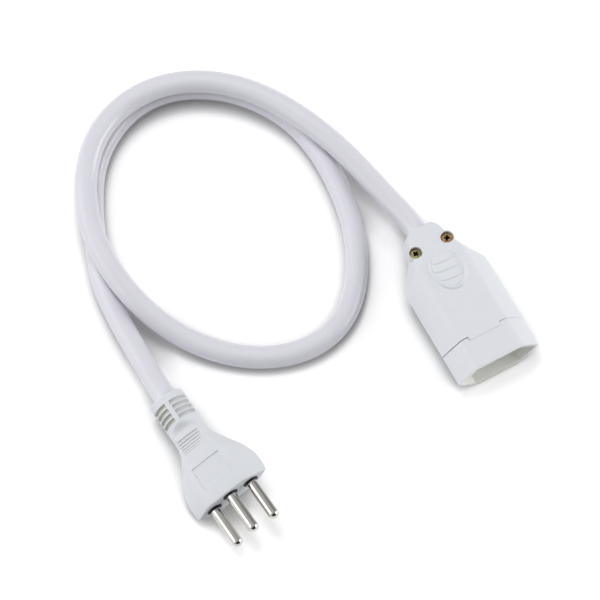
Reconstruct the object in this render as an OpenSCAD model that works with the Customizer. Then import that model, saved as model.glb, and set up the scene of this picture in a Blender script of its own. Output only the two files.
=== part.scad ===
// Short extension cord: a moulded three-pin plug, a round three-core cord and a
// two-part connector with a hexagonal shroud. Millimetres, +Z up, +X towards the
// connector's mouth. The origin is under the middle of the connector, on the floor.

/* [Connector] */
// Length of the connector, cord neck to mouth
connector_l = 68.6; // [68:0.2:76]
// Width of the connector across its side corners
connector_w = 38.8; // [38:0.2:42]
// Height of the connector between its two flats
connector_h = 19; // [18.6:0.2:21]
// Width of each flat, top and bottom
flat_w = 21.4; // [20.6:0.2:24]
// Wall of the base and of the cover
wall = 1.5; // [1.2:0.1:1.8]
// Rounding of the long edges between flats and sides
edge_r = 1.2; // [0.6:0.1:2]
// Draft of the neck: its width at the flats, as a share of its width half way up
draft = 0.77; // [0.7:0.01:0.86]
// Draft of the neck's end and shoulders, as a share along the connector
draft_l = 0.9; // [0.86:0.01:0.94]
// Length of the shroud, mouth to the cover's front edge
shroud_l = 13.8; // [13.4:0.1:15]
// Wall of the shroud
shroud_wall = 1.3; // [1:0.1:1.6]
// Depth of the recess that takes the plug's face
recess_d = 12; // [9:0.5:12.2]
// Thickness of the web that carries the three holes
web_t = 5; // [4:0.5:6]
// Length of the mouth's straight part, mouth to shoulder
straight_l = 45.3; // [44:0.1:47]
// Half width of the neck at the cover screws
neck_w = 11; // [10.8:0.1:12]
// Half width of the neck's rounded end
neck_end_w = 7; // [6.6:0.1:8]

/* [Cover] */
// Width of the cover's front tongue
tongue_w = 14.8; // [10:0.2:18]
// Reach of the tongue past the cover's front edge
tongue_l = 1.4; // [1:0.1:1.6]
// Thickness of the tongue
tongue_t = 1.4; // [1.1:0.1:1.6]
// Gap between the cover's front edge and the shroud
seam = 0.3; // [0.2:0.05:0.5]
// Length of the oval thumb pad
pad_l = 20; // [15:0.5:20.5]
// Width of the oval thumb pad
pad_w = 14.4; // [9:0.2:15]
// Height of the thumb pad at each ledge
pad_h = 0.8; // [0.5:0.1:1.2]
// Width of the rim round the thumb pad
pad_rim = 1; // [0.6:0.1:1.6]
// Height of the rim round the thumb pad
pad_rim_h = 0.5; // [0.3:0.1:0.7]
// Spacing of the thumb pad's ledges
ledge_pitch = 4; // [3:0.1:6]

/* [Contacts] */
// Distance between the two outer poles
pole_pitch = 19; // [18.8:0.1:19.4]
// Height of the earth pole above the outer poles
earth_rise = 3; // [2.6:0.1:3.2]
// Radius of the holes in the web
hole_r = 2.45; // [2.45:0.05:2.8]
// Outer radius of a contact sleeve
sleeve_r = 3.4; // [3.1:0.05:3.5]
// Bore radius of a contact sleeve
sleeve_bore_r = 2.45; // [2.42:0.01:2.6]
// Length of a contact sleeve
sleeve_l = 14; // [12:0.5:14.4]
// Width of a terminal block
block_w = 7; // [6.4:0.1:7.4]
// Height of a terminal block
block_h = 7.5; // [7:0.1:7.8]
// Length of a terminal block
block_l = 7.6; // [7:0.1:8]

/* [Screws] */
// Distance between the two cover screws
cover_screw_pitch = 15.1; // [14.8:0.1:15.4]
// Distance from the mouth to the cover screws
cover_screw_x = 58.1; // [57.5:0.1:59]
// Head radius of a cover screw
cover_head_r = 2.65; // [2.4:0.05:2.8]
// Height of a cover screw's head
cover_head_h = 2; // [1.6:0.1:2.4]
// Shank radius of a cover screw
cover_shank_r = 1.5; // [1.2:0.05:1.6]
// Depth of the counterbores in the cover
counterbore_d = 4.6; // [4:0.1:5]
// Head radius of a terminal screw
terminal_head_r = 2.5; // [2:0.1:2.8]
// Head height of a terminal screw
terminal_head_h = 1.6; // [1.2:0.1:2]
// Shank radius of a terminal screw
terminal_shank_r = 1.45; // [1.2:0.05:1.6]
// Radial clearance of every screw in its hole
screw_play = 0.05; // [0.03:0.01:0.08]

/* [Cord] */
// Outside diameter of the cord
cord_d = 9.6; // [9:0.1:9.8]
// Radius of an insulated core
core_r = 1.75; // [1.5:0.05:1.8]
// Radius of a bare conductor
conductor_r = 1.05; // [0.9:0.05:1.15]

/* [Plug] */
// Length of the plug's moulding, face to cord
plug_l = 50.4; // [50:0.2:54]
// Width of the plug's face
plug_w = 35.2; // [34:0.2:36]
// Thickness of the plug's face
plug_h = 15.4; // [15:0.2:16]
// Width of the flats on the plug's face
plug_flat_w = 19.2; // [18:0.2:21]
// Radius of a pin
pin_r = 2.4; // [2.35:0.01:2.41]
// Length of a pin beyond the face
pin_l = 19; // [18:0.1:19]
// Radius of the black collar round each pin
collar_r = 3.45; // [3.2:0.05:3.6]
// Height of the collars above the face
collar_rise = 0.3; // [0.1:0.1:0.6]
// Radius of the strain relief
relief_r = 7.8; // [7.4:0.1:8]
// Length of the strain relief
relief_l = 13.2; // [12.8:0.1:14]
// Rows of slots in the strain relief
slot_rows = 4; // [2:1:4]
// Distance from one row of slots to the next
slot_pitch = 2.4; // [2.2:0.1:2.5]
// Width of a slot along the cord
slot_w = 1.3; // [1:0.1:1.5]
// Depth of the slots
slot_d = 2.2; // [1.4:0.1:2.4]
// Width of the ribs that part the slots
slot_rib = 2.2; // [1.6:0.1:3]
// Number of grip ribs on each face
grip_ribs = 5; // [3:1:5]
// Length of the bare panel on the plug
panel_l = 10; // [8:0.5:11]
// Width of the bare panel on the plug
panel_w = 14; // [10:0.5:15]
// Depth of the bare panel on the plug
panel_d = 0.35; // [0.2:0.05:0.5]

/* [Hidden] */

$fn = 48;
// Overlap that joins solids and clears cuts
eps = 0.1;
// Clearance between pieces that seat in one another
seat = 0.05;

// Colours
HOUSING = [0.88, 0.88, 0.9];
SHEATH = [0.85, 0.85, 0.9];
BRASS = [0.78, 0.62, 0.3];
ZINC = [0.72, 0.6, 0.28];
NICKEL = [0.72, 0.71, 0.69];
BLACK = [0.08, 0.08, 0.09];
COPPER = [0.75, 0.42, 0.25];
BROWN = [0.35, 0.2, 0.12];
BLUE = [0.15, 0.3, 0.65];
GREEN = [0.2, 0.55, 0.25];

// Connector, derived
zc = connector_h / 2;
mouth_x = connector_l / 2;
neck_x = -connector_l / 2;
shoulder_x = mouth_x - straight_l;
part_x = mouth_x - shroud_l;
recess_x = mouth_x - recess_d;
web_x = recess_x - web_t;
screw_x = mouth_x - cover_screw_x;
shoulder_r = 5;
waist_r = 3;
corner_over = 0.9;
// The neck's taper starts this far behind the screws, and ends this far from its tip
neck_taper = 4.5;
neck_tip = 2;
clamp_front = screw_x + 4;
clamp_play = 0.5;
ridge_t = 1.4;
ridge_pitch = 3.6;
ridge_start = 2;
ridges = 3;
neck_lip = 1.6;
countersink_d = 0.6;
countersink_flare = 0.7;
// Cuts run on past the faces they open by this much
overrun = 10;

// Contacts, derived; each pole is [y, height above the middle]. A plug meets the
// connector face to face, so its outer poles are the other way round.
LINE = [pole_pitch / 2, 0];
NEUTRAL = [-pole_pitch / 2, 0];
EARTH = [0, earth_rise];
PLUG_LINE = NEUTRAL;
PLUG_NEUTRAL = LINE;
sleeve_x1 = web_x - 0.4;
sleeve_x0 = sleeve_x1 - sleeve_l;
block_x0 = sleeve_x0 - block_l + eps;
block_z0 = zc - block_h / 2;
sleeve_slot = 0.8;
sleeve_slot_l = sleeve_l * 0.7;
terminal_x = block_x0 + 3.3;
terminal_head_z = zc + block_h / 2 + seat;
wire_hole_r = conductor_r + 0.2;
wire_hole_l = block_l - 1.6;
rib_t = 1.5;
saddle_x = [web_x - 4.5, web_x - 11.5];
cover_rib_x = [web_x - 3, web_x - 10];
partition_t = 1.2;

// Thumb pad, derived: its middle, where its walls start, and its middle ledge
pad_x = shoulder_x + 0.5;
pad_base_z = connector_h - 1;
first_ledge = -0.4;
oval_step = 7.5;

// Cover screws, derived
head_z = connector_h - counterbore_d;
head_play = 0.3;
cover_shank_l = head_z - 3;
pilot_floor = 2.4;
cross_w = 0.9;
cross_l = 3.2;
cross_d = 1.2;

// Cord ends inside the housings
core_ring = core_r * 1.2;
socket_sheath_x = clamp_front - 0.5;
socket_core_x = block_x0 - 1.2;
core_steps = 7;
core_sides = 10;

// Plug, derived, in the plug's own frame: face at x = 0, cord towards -X
relief_x = -plug_l + relief_l;
carrier_x = -6;
bridge_t = 3;
bridge_w = pole_pitch + 7;
bridge_z0 = -3.6;
bridge_h = earth_rise + 3.4;
bridge_edge = 2.4;
bridge_foot = 4;
flange_r = 3.1;
flange_t = 1.2;
root_r = pin_r - 0.2;
root_x = collar_rise + 0.05;
crimp_r = 2;
crimp_bore_r = conductor_r + 0.05;
crimp_l = 5;
pin_back = carrier_x - bridge_t - flange_t;
crimp_x = pin_back - crimp_l;
plug_core_x = crimp_x - 0.6;
plug_sheath_x = -27.5;
grip_x = -25.8;
grip_pitch = 1.35;
grip_t = 0.6;
grip_h = 0.45;
grip_w = 10;
panel_x = -17;

// The plug's outline: [x, half width, half thickness, half flat, squareness]
plug_sections = [
    [-38.2, 7.8, 7.2, 7.6, 2.2],
    [-36.6, 7.8, 6.3, 7.0, 3],
    [-35, 7.8, 5.8, 6.4, 4],
    [-33.4, 7.8, 6.3, 6.2, 4.5],
    [-31.8, 7.9, 6.9, 6.2, 5],
    [-28, 8.3, 7.1, 6.4, 6],
    [-24, 10.2, 7.3, 7.2, 8],
    [-20, 12.5, 7.5, 8.2, 9],
    [-16.5, 14.7, 7.65, 8.8, 10],
    [-13, 16.4, 7.75, 9.3, 11],
    [-9.5, 17.6, 7.8, 9.6, 12],
    [-5, 18.1, 7.8, 9.7, 12],
    [-1.6, 17.9, plug_h / 2 + 0.05, plug_flat_w / 2 + 0.1, 14],
    [-0.4, plug_w / 2 + 0.1, plug_h / 2, plug_flat_w / 2, 14],
    [0, plug_w / 2 - 0.35, plug_h / 2 - 0.4, plug_flat_w / 2 - 0.1, 14]
];
plug_sides = 48;

// Where the plug lies: the end of its strain relief, its turn and its roll
plug_end = [-18.7, -129.3, 10.15];
plug_yaw = 5;
plug_roll = 20;

// The cord's route over the floor, from the connector's neck to the plug
route = [
    [neck_x, 0, zc], [-52.6, -3.8, 10], [-69.5, -7.6, 11.8], [-86.3, -12.5, 13.9], [-103.3, -19.5, 15],
    [-118.3, -28.5, 15], [-131.3, -40, 15], [-140.3, -53.5, 15], [-145.3, -70, 15], [-143.8, -86, 15],
    [-136.8, -100, 15], [-124.3, -111.5, 15], [-108.3, -119.5, 15], [-91.3, -123, 15],
    [-74.3, -122.5, 13.8], [-58.3, -118.5, 10.6], [-43.3, -111, 7.2], [-30.3, -101, 5.2],
    [-19.8, -88.5, 4.9], [-12.8, -73, 4.9], [-11.8, -58, 4.9], [-17.3, -44, 4.9],
    [-28.3, -33.5, 4.9], [-43.3, -25, 4.9], [-60.3, -20, 4.9], [-78.3, -18, 4.9], [-96.3, -19.5, 4.9],
    [-111.3, -24.5, 4.9], [-125.3, -34, 4.9], [-136.3, -46.5, 4.9], [-143.8, -62, 4.9],
    [-144.8, -78, 4.9], [-139.3, -93, 4.9], [-129.3, -105, 4.9], [-114.3, -114.5, 4.9],
    [-97.3, -121.5, 4.9], [-80.3, -127.5, 4.9], [-62.3, -129.3, 6], [-40.3, -129.7, 8.8], plug_end
];
cord_sides = 12;
exit_dir = [-1, 0, 0];
entry_dir = [cos(plug_yaw), sin(plug_yaw), 0];

// ---- Sweeps -------------------------------------------------------------

function unit(v) = v / norm(v);

// Direction of a path at its point i, with both ends given
function heading(path, i, first, last) =
    i == 0 ? first
    : i == len(path) - 1 ? last
    : unit(unit(path[i + 1] - path[i]) + unit(path[i] - path[i - 1]));

// One ring of points round p, square to direction t
function ring(p, t, r, sides) =
    let (side = unit(cross([0, 0, 1], t)), up = cross(t, side))
    [for (k = [0 : sides - 1]) let (a = 360 * (k + 0.5) / sides) p + r * (cos(a) * side + sin(a) * up)];

// Faces of a closed tube of n rings
function tube_faces(n, sides) = concat(
    [[for (k = [0 : sides - 1]) k]],
    [for (i = [0 : n - 2], k = [0 : sides - 1])
        let (a = i * sides + k, b = i * sides + (k + 1) % sides)
        each [[a, a + sides, b], [b, a + sides, b + sides]]],
    [[for (k = [sides - 1 : -1 : 0]) (n - 1) * sides + k]]
);

module tube(path, r, sides, first, last) {
    rings = [for (i = [0 : len(path) - 1]) each ring(path[i], heading(path, i, first, last), r, sides)];
    polyhedron(rings, tube_faces(len(path), sides), convexity = 8);
}

// A core's path from the bundle at x0 to a pole at x1
function core_path(x0, x1, from, to) =
    [for (i = [0 : core_steps - 1])
        let (u = i / (core_steps - 1), s = u * u * (3 - 2 * u), p = from + s * (to - from))
        [x0 + u * (x1 - x0), p[0], p[1]]];

// Where a core lies in the bundle; the earth core is on top
function bundle(a) = core_ring * [cos(a), sin(a)];

// ---- Connector ----------------------------------------------------------

// Extrudes a YZ outline from x0 to x1
module along_x(x0, x1) {
    translate([x0, 0, 0]) rotate([90, 0, 90]) linear_extrude(x1 - x0) children();
}

// Half of the plan outline at mid height; it runs on past the mouth
module half_plan() {
    polygon([
        [mouth_x + 60, 0], [mouth_x + 60, connector_w / 2], [shoulder_x, connector_w / 2],
        [screw_x + 0.4, neck_w], [screw_x - neck_taper, neck_w - 0.8],
        [neck_x + neck_tip, neck_end_w + 1.9], [neck_x, neck_end_w], [neck_x, 0]
    ]);
}

module plan() {
    offset(r = -waist_r) offset(delta = waist_r) offset(r = shoulder_r) offset(delta = -shoulder_r)
        union() {
            half_plan();
            mirror([0, 1]) half_plan();
        }
}

// The plan raised and lowered from mid height, drawn in towards both flats
module drafted_plan(inset) {
    tall = zc + 1;
    for (side = [0, 1])
        translate([shoulder_x, 0, zc]) mirror([0, 0, side])
            linear_extrude(tall, slices = 1, scale = [1 - (1 - draft_l) * tall / zc, 1 - (1 - draft) * tall / zc])
                translate([-shoulder_x, 0]) offset(delta = -inset) plan();
}

// Flat hexagon, its side corners a little wider than the plan
module section() {
    corner = connector_w / 2 + corner_over;
    translate([0, zc])
        offset(r = edge_r) offset(delta = -edge_r)
            polygon([
                [corner, 0], [flat_w / 2, zc], [-flat_w / 2, zc],
                [-corner, 0], [-flat_w / 2, -zc], [flat_w / 2, -zc]
            ]);
}

// The connector's outer form, drawn in by inset, between x0 and x1
module form(x0, x1, inset = 0) {
    intersection() {
        drafted_plan(inset);
        along_x(x0, x1) offset(delta = -inset) section();
    }
}

module upper_half() {
    translate([neck_x - overrun, -connector_w, zc]) cube([connector_l + 2 * overrun, 2 * connector_w, connector_h]);
}

module lower_half() {
    translate([neck_x - overrun, -connector_w, -1]) cube([connector_l + 2 * overrun, 2 * connector_w, zc + 1]);
}

// Where the cover's tongue lies on the shroud, larger by gap
module tongue(gap = 0) {
    translate([part_x - seam - eps, -tongue_w / 2 - gap, connector_h - tongue_t - gap])
        cube([tongue_l + seam + eps + gap, tongue_w + 2 * gap, 2 * tongue_t]);
}

// The hollow behind the web, which holds the contacts
module chamber() {
    form(clamp_front, web_x, wall);
}

// The channel that holds the cord, narrowed by the grip ridges
module cord_channel() {
    difference() {
        along_x(neck_x - 1, clamp_front + eps) translate([0, zc]) circle(cord_d / 2 + clamp_play);
        for (i = [0 : ridges - 1])
            translate([clamp_front - ridge_start - i * ridge_pitch - ridge_t, 0, 0])
                along_x(0, ridge_t) translate([0, zc]) difference() {
                    circle(cord_d / 2 + 2);
                    circle(cord_d / 2 + seat);
                }
        along_x(neck_x - 1 - eps, neck_x + neck_lip) translate([0, zc]) difference() {
            circle(cord_d / 2 + 2);
            circle(cord_d / 2 + seat);
        }
    }
}

// Ribs between the walls that hold the three sleeves
module saddles(xs, z0, z1) {
    for (x = xs)
        difference() {
            intersection() {
                form(x, x + rib_t, wall - eps);
                translate([x - 1, -connector_w, z0]) cube([rib_t + 2, 2 * connector_w, z1 - z0]);
            }
            for (pole = [LINE, NEUTRAL, EARTH])
                along_x(x - 1, x + rib_t + 1) translate([pole[0], zc + pole[1]]) circle(sleeve_r + seat);
        }
}

module block_pads() {
    intersection() {
        form(clamp_front, web_x, wall - eps);
        for (y = [-pole_pitch / 2, 0, pole_pitch / 2])
            translate([block_x0 + 1, y - block_w / 2 + 0.5, 0]) cube([block_l - 2, block_w - 1, block_z0 - seat]);
    }
}

module partitions() {
    intersection() {
        form(clamp_front, web_x + eps, wall - eps);
        for (s = [-1, 1])
            translate([block_x0 + 1, s * pole_pitch / 4 - partition_t / 2, 0])
                cube([web_x - block_x0, partition_t, zc - 0.5]);
    }
}

module socket_base() {
    color(HOUSING) {
        difference() {
            union() {
                difference() {
                    form(neck_x - 1, mouth_x);
                    difference() {
                        union() {
                            form(neck_x - 2, part_x, -1);
                            tongue(0.1);
                        }
                        lower_half();
                    }
                    chamber();
                }
                form(web_x, part_x + eps, wall + 0.1);
                saddles(saddle_x, wall - eps, zc);
                block_pads();
                partitions();
            }
            form(recess_x, mouth_x + 1, shroud_wall);
            tongue(0.1);
            cord_channel();
            for (pole = [LINE, NEUTRAL, EARTH])
                translate([0, pole[0], zc + pole[1]]) rotate([0, 90, 0]) {
                    translate([0, 0, web_x - 1]) cylinder(h = web_t + 2, r = hole_r);
                    translate([0, 0, recess_x - countersink_d])
                        cylinder(h = countersink_d + eps, r1 = hole_r, r2 = hole_r + countersink_flare);
                }
            for (s = [-1, 1])
                translate([screw_x, s * cover_screw_pitch / 2, pilot_floor])
                    cylinder(h = connector_h, r = cover_shank_r + screw_play);
        }
    }
}

// Half an oval's axes, drawn in by inset, as an outline
module oval(inset = 0) {
    polygon([for (a = [0 : oval_step : 359])
        [(pad_l / 2 - inset) * cos(a), (pad_w / 2 - inset) * sin(a)]]);
}

// The raised oval: a rim round a row of ledges
module thumb_pad() {
    translate([pad_x, 0, pad_base_z]) {
        linear_extrude(connector_h - pad_base_z + pad_rim_h) difference() {
            oval();
            oval(pad_rim);
        }
        intersection() {
            linear_extrude(5) oval(pad_rim - eps);
            for (i = [-2 : 3])
                translate([first_ledge + i * ledge_pitch, 0, 0]) rotate([90, 0, 0])
                    linear_extrude(pad_w + 2, center = true)
                        polygon([
                            [-ledge_pitch - eps, 0], [0, 0], [0, connector_h - pad_base_z + pad_h],
                            [-ledge_pitch - eps, connector_h - pad_base_z + 0.15]
                        ]);
        }
    }
}

module socket_cover() {
    color(HOUSING)
        difference() {
            union() {
                difference() {
                    intersection() {
                        form(neck_x - 1, part_x - seam);
                        translate([0, 0, seat]) upper_half();
                    }
                    form(clamp_front, mouth_x, wall);
                }
                intersection() {
                    tongue();
                    form(neck_x, mouth_x);
                }
                saddles(cover_rib_x, zc + 2 * seat, connector_h - wall + eps);
                thumb_pad();
            }
            cord_channel();
            for (s = [-1, 1])
                translate([screw_x, s * cover_screw_pitch / 2, 0]) {
                    cylinder(h = 2 * connector_h, r = cover_shank_r + head_play);
                    translate([0, 0, head_z]) cylinder(h = connector_h, r = cover_head_r + head_play);
                }
        }
}

// ---- Contacts and screws ------------------------------------------------

// Brass contact: a split sleeve for the pin, and a block that takes the wire
module contact(pole) {
    color(BRASS)
        difference() {
            union() {
                translate([sleeve_x0, pole[0], zc + pole[1]]) rotate([0, 90, 0]) cylinder(h = sleeve_l, r = sleeve_r);
                translate([block_x0, pole[0] - block_w / 2, block_z0]) cube([block_l, block_w, block_h]);
            }
            translate([block_x0 + block_l, pole[0], zc + pole[1]]) rotate([0, 90, 0])
                cylinder(h = sleeve_l + 1, r = sleeve_bore_r);
            translate([sleeve_x1 - sleeve_slot_l, pole[0] - sleeve_r - 1, zc + pole[1] - sleeve_slot / 2])
                cube([sleeve_slot_l + 1, 2 * sleeve_r + 2, sleeve_slot]);
            translate([block_x0 - 1, pole[0], zc]) rotate([0, 90, 0]) cylinder(h = wire_hole_l + 1, r = wire_hole_r);
            translate([terminal_x, pole[0], zc]) cylinder(h = block_h, r = terminal_shank_r + screw_play);
        }
}

module line_contact() { contact(LINE); }
module neutral_contact() { contact(NEUTRAL); }
module earth_contact() { contact(EARTH); }

// Cheese-head screw with a slot, standing in its terminal block
module terminal_screw(pole) {
    tip_z = zc + conductor_r + 0.1;
    color(ZINC)
        translate([terminal_x, pole[0], 0])
            difference() {
                union() {
                    translate([0, 0, tip_z]) cylinder(h = terminal_head_z - tip_z + eps, r = terminal_shank_r);
                    translate([0, 0, terminal_head_z]) cylinder(h = terminal_head_h, r = terminal_head_r);
                }
                translate([-terminal_head_r - 1, -0.4, terminal_head_z + terminal_head_h - 0.9])
                    cube([2 * terminal_head_r + 2, 0.8, 2]);
            }
}

module line_terminal_screw() { terminal_screw(LINE); }
module neutral_terminal_screw() { terminal_screw(NEUTRAL); }
module earth_terminal_screw() { terminal_screw(EARTH); }

// Pan-head screw with a cross recess
module cover_screw(side) {
    seat_z = head_z + seat;
    color(ZINC)
        translate([screw_x, side * cover_screw_pitch / 2, 0])
            difference() {
                rotate_extrude() polygon([
                    [0, seat_z - cover_shank_l + 0.6], [cover_shank_r - 0.7, seat_z - cover_shank_l + 0.6],
                    [cover_shank_r, seat_z - cover_shank_l + 1.6], [cover_shank_r, seat_z],
                    [cover_head_r, seat_z], [cover_head_r, seat_z + cover_head_h * 0.55],
                    [cover_head_r * 0.8, seat_z + cover_head_h * 0.9], [cover_head_r * 0.5, seat_z + cover_head_h],
                    [0, seat_z + cover_head_h]
                ]);
                for (a = [0, 90])
                    rotate(a) translate([-cross_l / 2, -cross_w / 2, seat_z + cover_head_h - cross_d])
                        cube([cross_l, cross_w, cross_d + 1]);
            }
}

module left_cover_screw() { cover_screw(-1); }
module right_cover_screw() { cover_screw(1); }

// ---- Cord ends in the connector ------------------------------------------

module socket_sheath_end() {
    color(SHEATH) along_x(neck_x, socket_sheath_x) translate([0, zc]) circle(cord_d / 2);
}

module socket_core(pole, angle) {
    path = core_path(socket_sheath_x, socket_core_x, bundle(angle), [pole[0], 0]);
    translate([0, 0, zc]) tube(path, core_r, core_sides, [1, 0, 0], [1, 0, 0]);
}

module socket_line_core() { color(BROWN) socket_core(LINE, 330); }
module socket_neutral_core() { color(BLUE) socket_core(NEUTRAL, 210); }
module socket_earth_core() { color(GREEN) socket_core(EARTH, 90); }

module socket_conductor(pole) {
    color(COPPER)
        along_x(socket_core_x, block_x0 + wire_hole_l - 0.5) translate([pole[0], zc]) circle(conductor_r);
}

module socket_line_conductor() { socket_conductor(LINE); }
module socket_neutral_conductor() { socket_conductor(NEUTRAL); }
module socket_earth_conductor() { socket_conductor(EARTH); }

// ---- Cord ----------------------------------------------------------------

// Points along the route, four to a stretch, to measure the gap between its strands
fine = [for (i = [0 : len(route) - 2], k = [0 : 3]) route[i] + (route[i + 1] - route[i]) * k / 4];
travel = [for (i = 0, s = 0; i < len(fine); s = s + (i + 1 < len(fine) ? norm(fine[i + 1] - fine[i]) : 0), i = i + 1) s];
strand_gap = min([for (i = [0 : len(fine) - 1], j = [i : len(fine) - 1])
    travel[j] - travel[i] > 6 * cord_d ? norm(fine[j] - fine[i]) : 1000]) - cord_d;
echo(cord_length = travel[len(travel) - 1], least_gap_between_strands = strand_gap);

module cord() {
    color(SHEATH) tube(route, cord_d / 2, cord_sides, exit_dir, entry_dir);
}

// ---- Plug ----------------------------------------------------------------

module place_plug() {
    translate(plug_end) rotate([0, 0, plug_yaw]) rotate([plug_roll, 0, 0]) translate([plug_l, 0, 0]) children();
}

// Radius of a rounded flat hexagon in direction a: half width w, half thickness t,
// half flat f, with q the squareness of its corners (2 gives an ellipse)
function plug_radius(a, w, t, f, q) =
    let (c = abs(cos(a)), s = abs(sin(a)))
    pow(pow(s / t, q) + pow(c / w + s * (w - f) / (w * t), q), -1 / q);

function plug_ring(g) =
    [for (k = [0 : plug_sides - 1])
        let (a = 360 * k / plug_sides, r = plug_radius(a, g[1], g[2], g[3], g[4]))
        [g[0], r * cos(a), r * sin(a)]];

module plug_bell() {
    scale_x = (plug_l - relief_l) / 37.2;
    rings = [for (g = plug_sections) each plug_ring([g[0] * scale_x, g[1], g[2], g[3], g[4]])];
    polyhedron(rings, tube_faces(len(plug_sections), plug_sides), convexity = 6);
}

// Turned form of the strain relief with its end collar
module relief() {
    translate([-plug_l, 0, 0]) rotate([0, 90, 0]) rotate_extrude() polygon([
        [0, 0], [relief_r - 0.6, 0], [relief_r, 0.6], [relief_r, relief_l - 1.2],
        [relief_r - 0.8, relief_l], [0, relief_l]
    ]);
}

// A row of four slots between four ribs
module slot_row() {
    rotate([0, 90, 0]) linear_extrude(slot_w) difference() {
        circle(relief_r + 1);
        circle(relief_r - slot_d);
        square([2 * relief_r + 4, slot_rib], center = true);
        square([slot_rib, 2 * relief_r + 4], center = true);
    }
}

module pin_row(r, x0, x1) {
    for (pole = [LINE, NEUTRAL, EARTH])
        along_x(x0, x1) translate(pole) circle(r);
}

module carrier_form(gap = 0) {
    pin_row(collar_r + gap, carrier_x - 1, collar_rise);
    along_x(carrier_x - bridge_t - gap, carrier_x + gap) offset(delta = gap)
        polygon([
            [bridge_w / 2, bridge_edge], [bridge_foot, bridge_h], [-bridge_foot, bridge_h],
            [-bridge_w / 2, bridge_edge], [-bridge_w / 2, -bridge_edge], [-bridge_foot - 6, bridge_z0],
            [bridge_foot + 6, bridge_z0], [bridge_w / 2, -bridge_edge]
        ]);
}

module grips() {
    for (i = [0 : grip_ribs - 1], s = [-1, 1])
        translate([grip_x - i * grip_pitch - grip_t / 2, 0, s * 6.9])
            cube([grip_t, grip_w, 2 * grip_h], center = true);
}

module plug_body() {
    color(HOUSING)
        place_plug() difference() {
            union() {
                plug_bell();
                relief();
                grips();
            }
            for (i = [0 : slot_rows - 1])
                translate([-plug_l + 2.6 + i * slot_pitch, 0, 0]) slot_row();
            translate([panel_x, -panel_w / 2, plug_h / 2 - panel_d]) cube([panel_l, panel_w, 2]);
            carrier_form(seat);
            pin_row(flange_r + seat, pin_back - seat, carrier_x);
            pin_row(crimp_r + seat, plug_core_x - seat, carrier_x);
            for (core = [[PLUG_LINE, 210], [PLUG_NEUTRAL, 330], [EARTH, 90]])
                plug_core_form(core[0], core[1], core_r + seat, 0.3);
            along_x(-plug_l - 1, plug_sheath_x) circle(cord_d / 2 + seat);
        }
}

module pin_carrier() {
    color(BLACK)
        place_plug() difference() {
            carrier_form();
            pin_row(root_r + seat, carrier_x - bridge_t - 1, 1);
        }
}

// Turned pin: round nose, plain shank, thinner root in the carrier, flange and crimp barrel
module contact_pin(pole) {
    color(NICKEL)
        place_plug() translate([0, pole[0], pole[1]]) rotate([0, 90, 0]) difference() {
            union() {
                translate([0, 0, carrier_x - bridge_t - eps])
                    cylinder(h = root_x - carrier_x + bridge_t + 2 * eps, r = root_r);
                translate([0, 0, root_x]) cylinder(h = pin_l - pin_r - root_x, r = pin_r);
                translate([0, 0, pin_l - pin_r]) sphere(pin_r);
                translate([0, 0, pin_back]) cylinder(h = flange_t - seat, r = flange_r);
                translate([0, 0, crimp_x]) cylinder(h = crimp_l + eps, r = crimp_r);
            }
            translate([0, 0, crimp_x - 1]) cylinder(h = crimp_l, r = crimp_bore_r);
        }
}

module line_pin() { contact_pin(PLUG_LINE); }
module neutral_pin() { contact_pin(PLUG_NEUTRAL); }
module earth_pin() { contact_pin(EARTH); }

module plug_sheath_end() {
    color(SHEATH) place_plug() along_x(-plug_l, plug_sheath_x - seat) circle(cord_d / 2);
}

// A core between the sheath's end and a pin, drawn longer by extra at each end
module plug_core_form(pole, angle, r, extra = 0) {
    path = core_path(plug_sheath_x, plug_core_x, bundle(angle), pole);
    ends = concat([path[0] - [extra, 0, 0]], path, [path[core_steps - 1] + [extra, 0, 0]]);
    tube(extra > 0 ? ends : path, r, core_sides, [1, 0, 0], [1, 0, 0]);
}

module plug_line_core() { color(BROWN) place_plug() plug_core_form(PLUG_LINE, 210, core_r); }
module plug_neutral_core() { color(BLUE) place_plug() plug_core_form(PLUG_NEUTRAL, 330, core_r); }
module plug_earth_core() { color(GREEN) place_plug() plug_core_form(EARTH, 90, core_r); }

module plug_conductor(pole) {
    color(COPPER)
        place_plug() along_x(plug_core_x, crimp_x + crimp_l - 1.3) translate(pole) circle(conductor_r);
}

module plug_line_conductor() { plug_conductor(PLUG_LINE); }
module plug_neutral_conductor() { plug_conductor(PLUG_NEUTRAL); }
module plug_earth_conductor() { plug_conductor(EARTH); }

// ---- Nodes ---------------------------------------------------------------

socket_base();
socket_cover();
line_contact();
neutral_contact();
earth_contact();
line_terminal_screw();
neutral_terminal_screw();
earth_terminal_screw();
left_cover_screw();
right_cover_screw();
socket_sheath_end();
socket_line_core();
socket_neutral_core();
socket_earth_core();
socket_line_conductor();
socket_neutral_conductor();
socket_earth_conductor();
cord();
plug_body();
pin_carrier();
line_pin();
neutral_pin();
earth_pin();
plug_sheath_end();
plug_line_core();
plug_neutral_core();
plug_earth_core();
plug_line_conductor();
plug_neutral_conductor();
plug_earth_conductor();
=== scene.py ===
"""Looks of a short extension cord: a three-pin plug, a round cord and a two-part connector.

Sizes and colours are in the property groups. Each shape is a surface worked out from them in
millimetres, as a grid of points, and is put into the frame's metres when its mesh is made.
"""

import math
from types import SimpleNamespace

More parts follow.
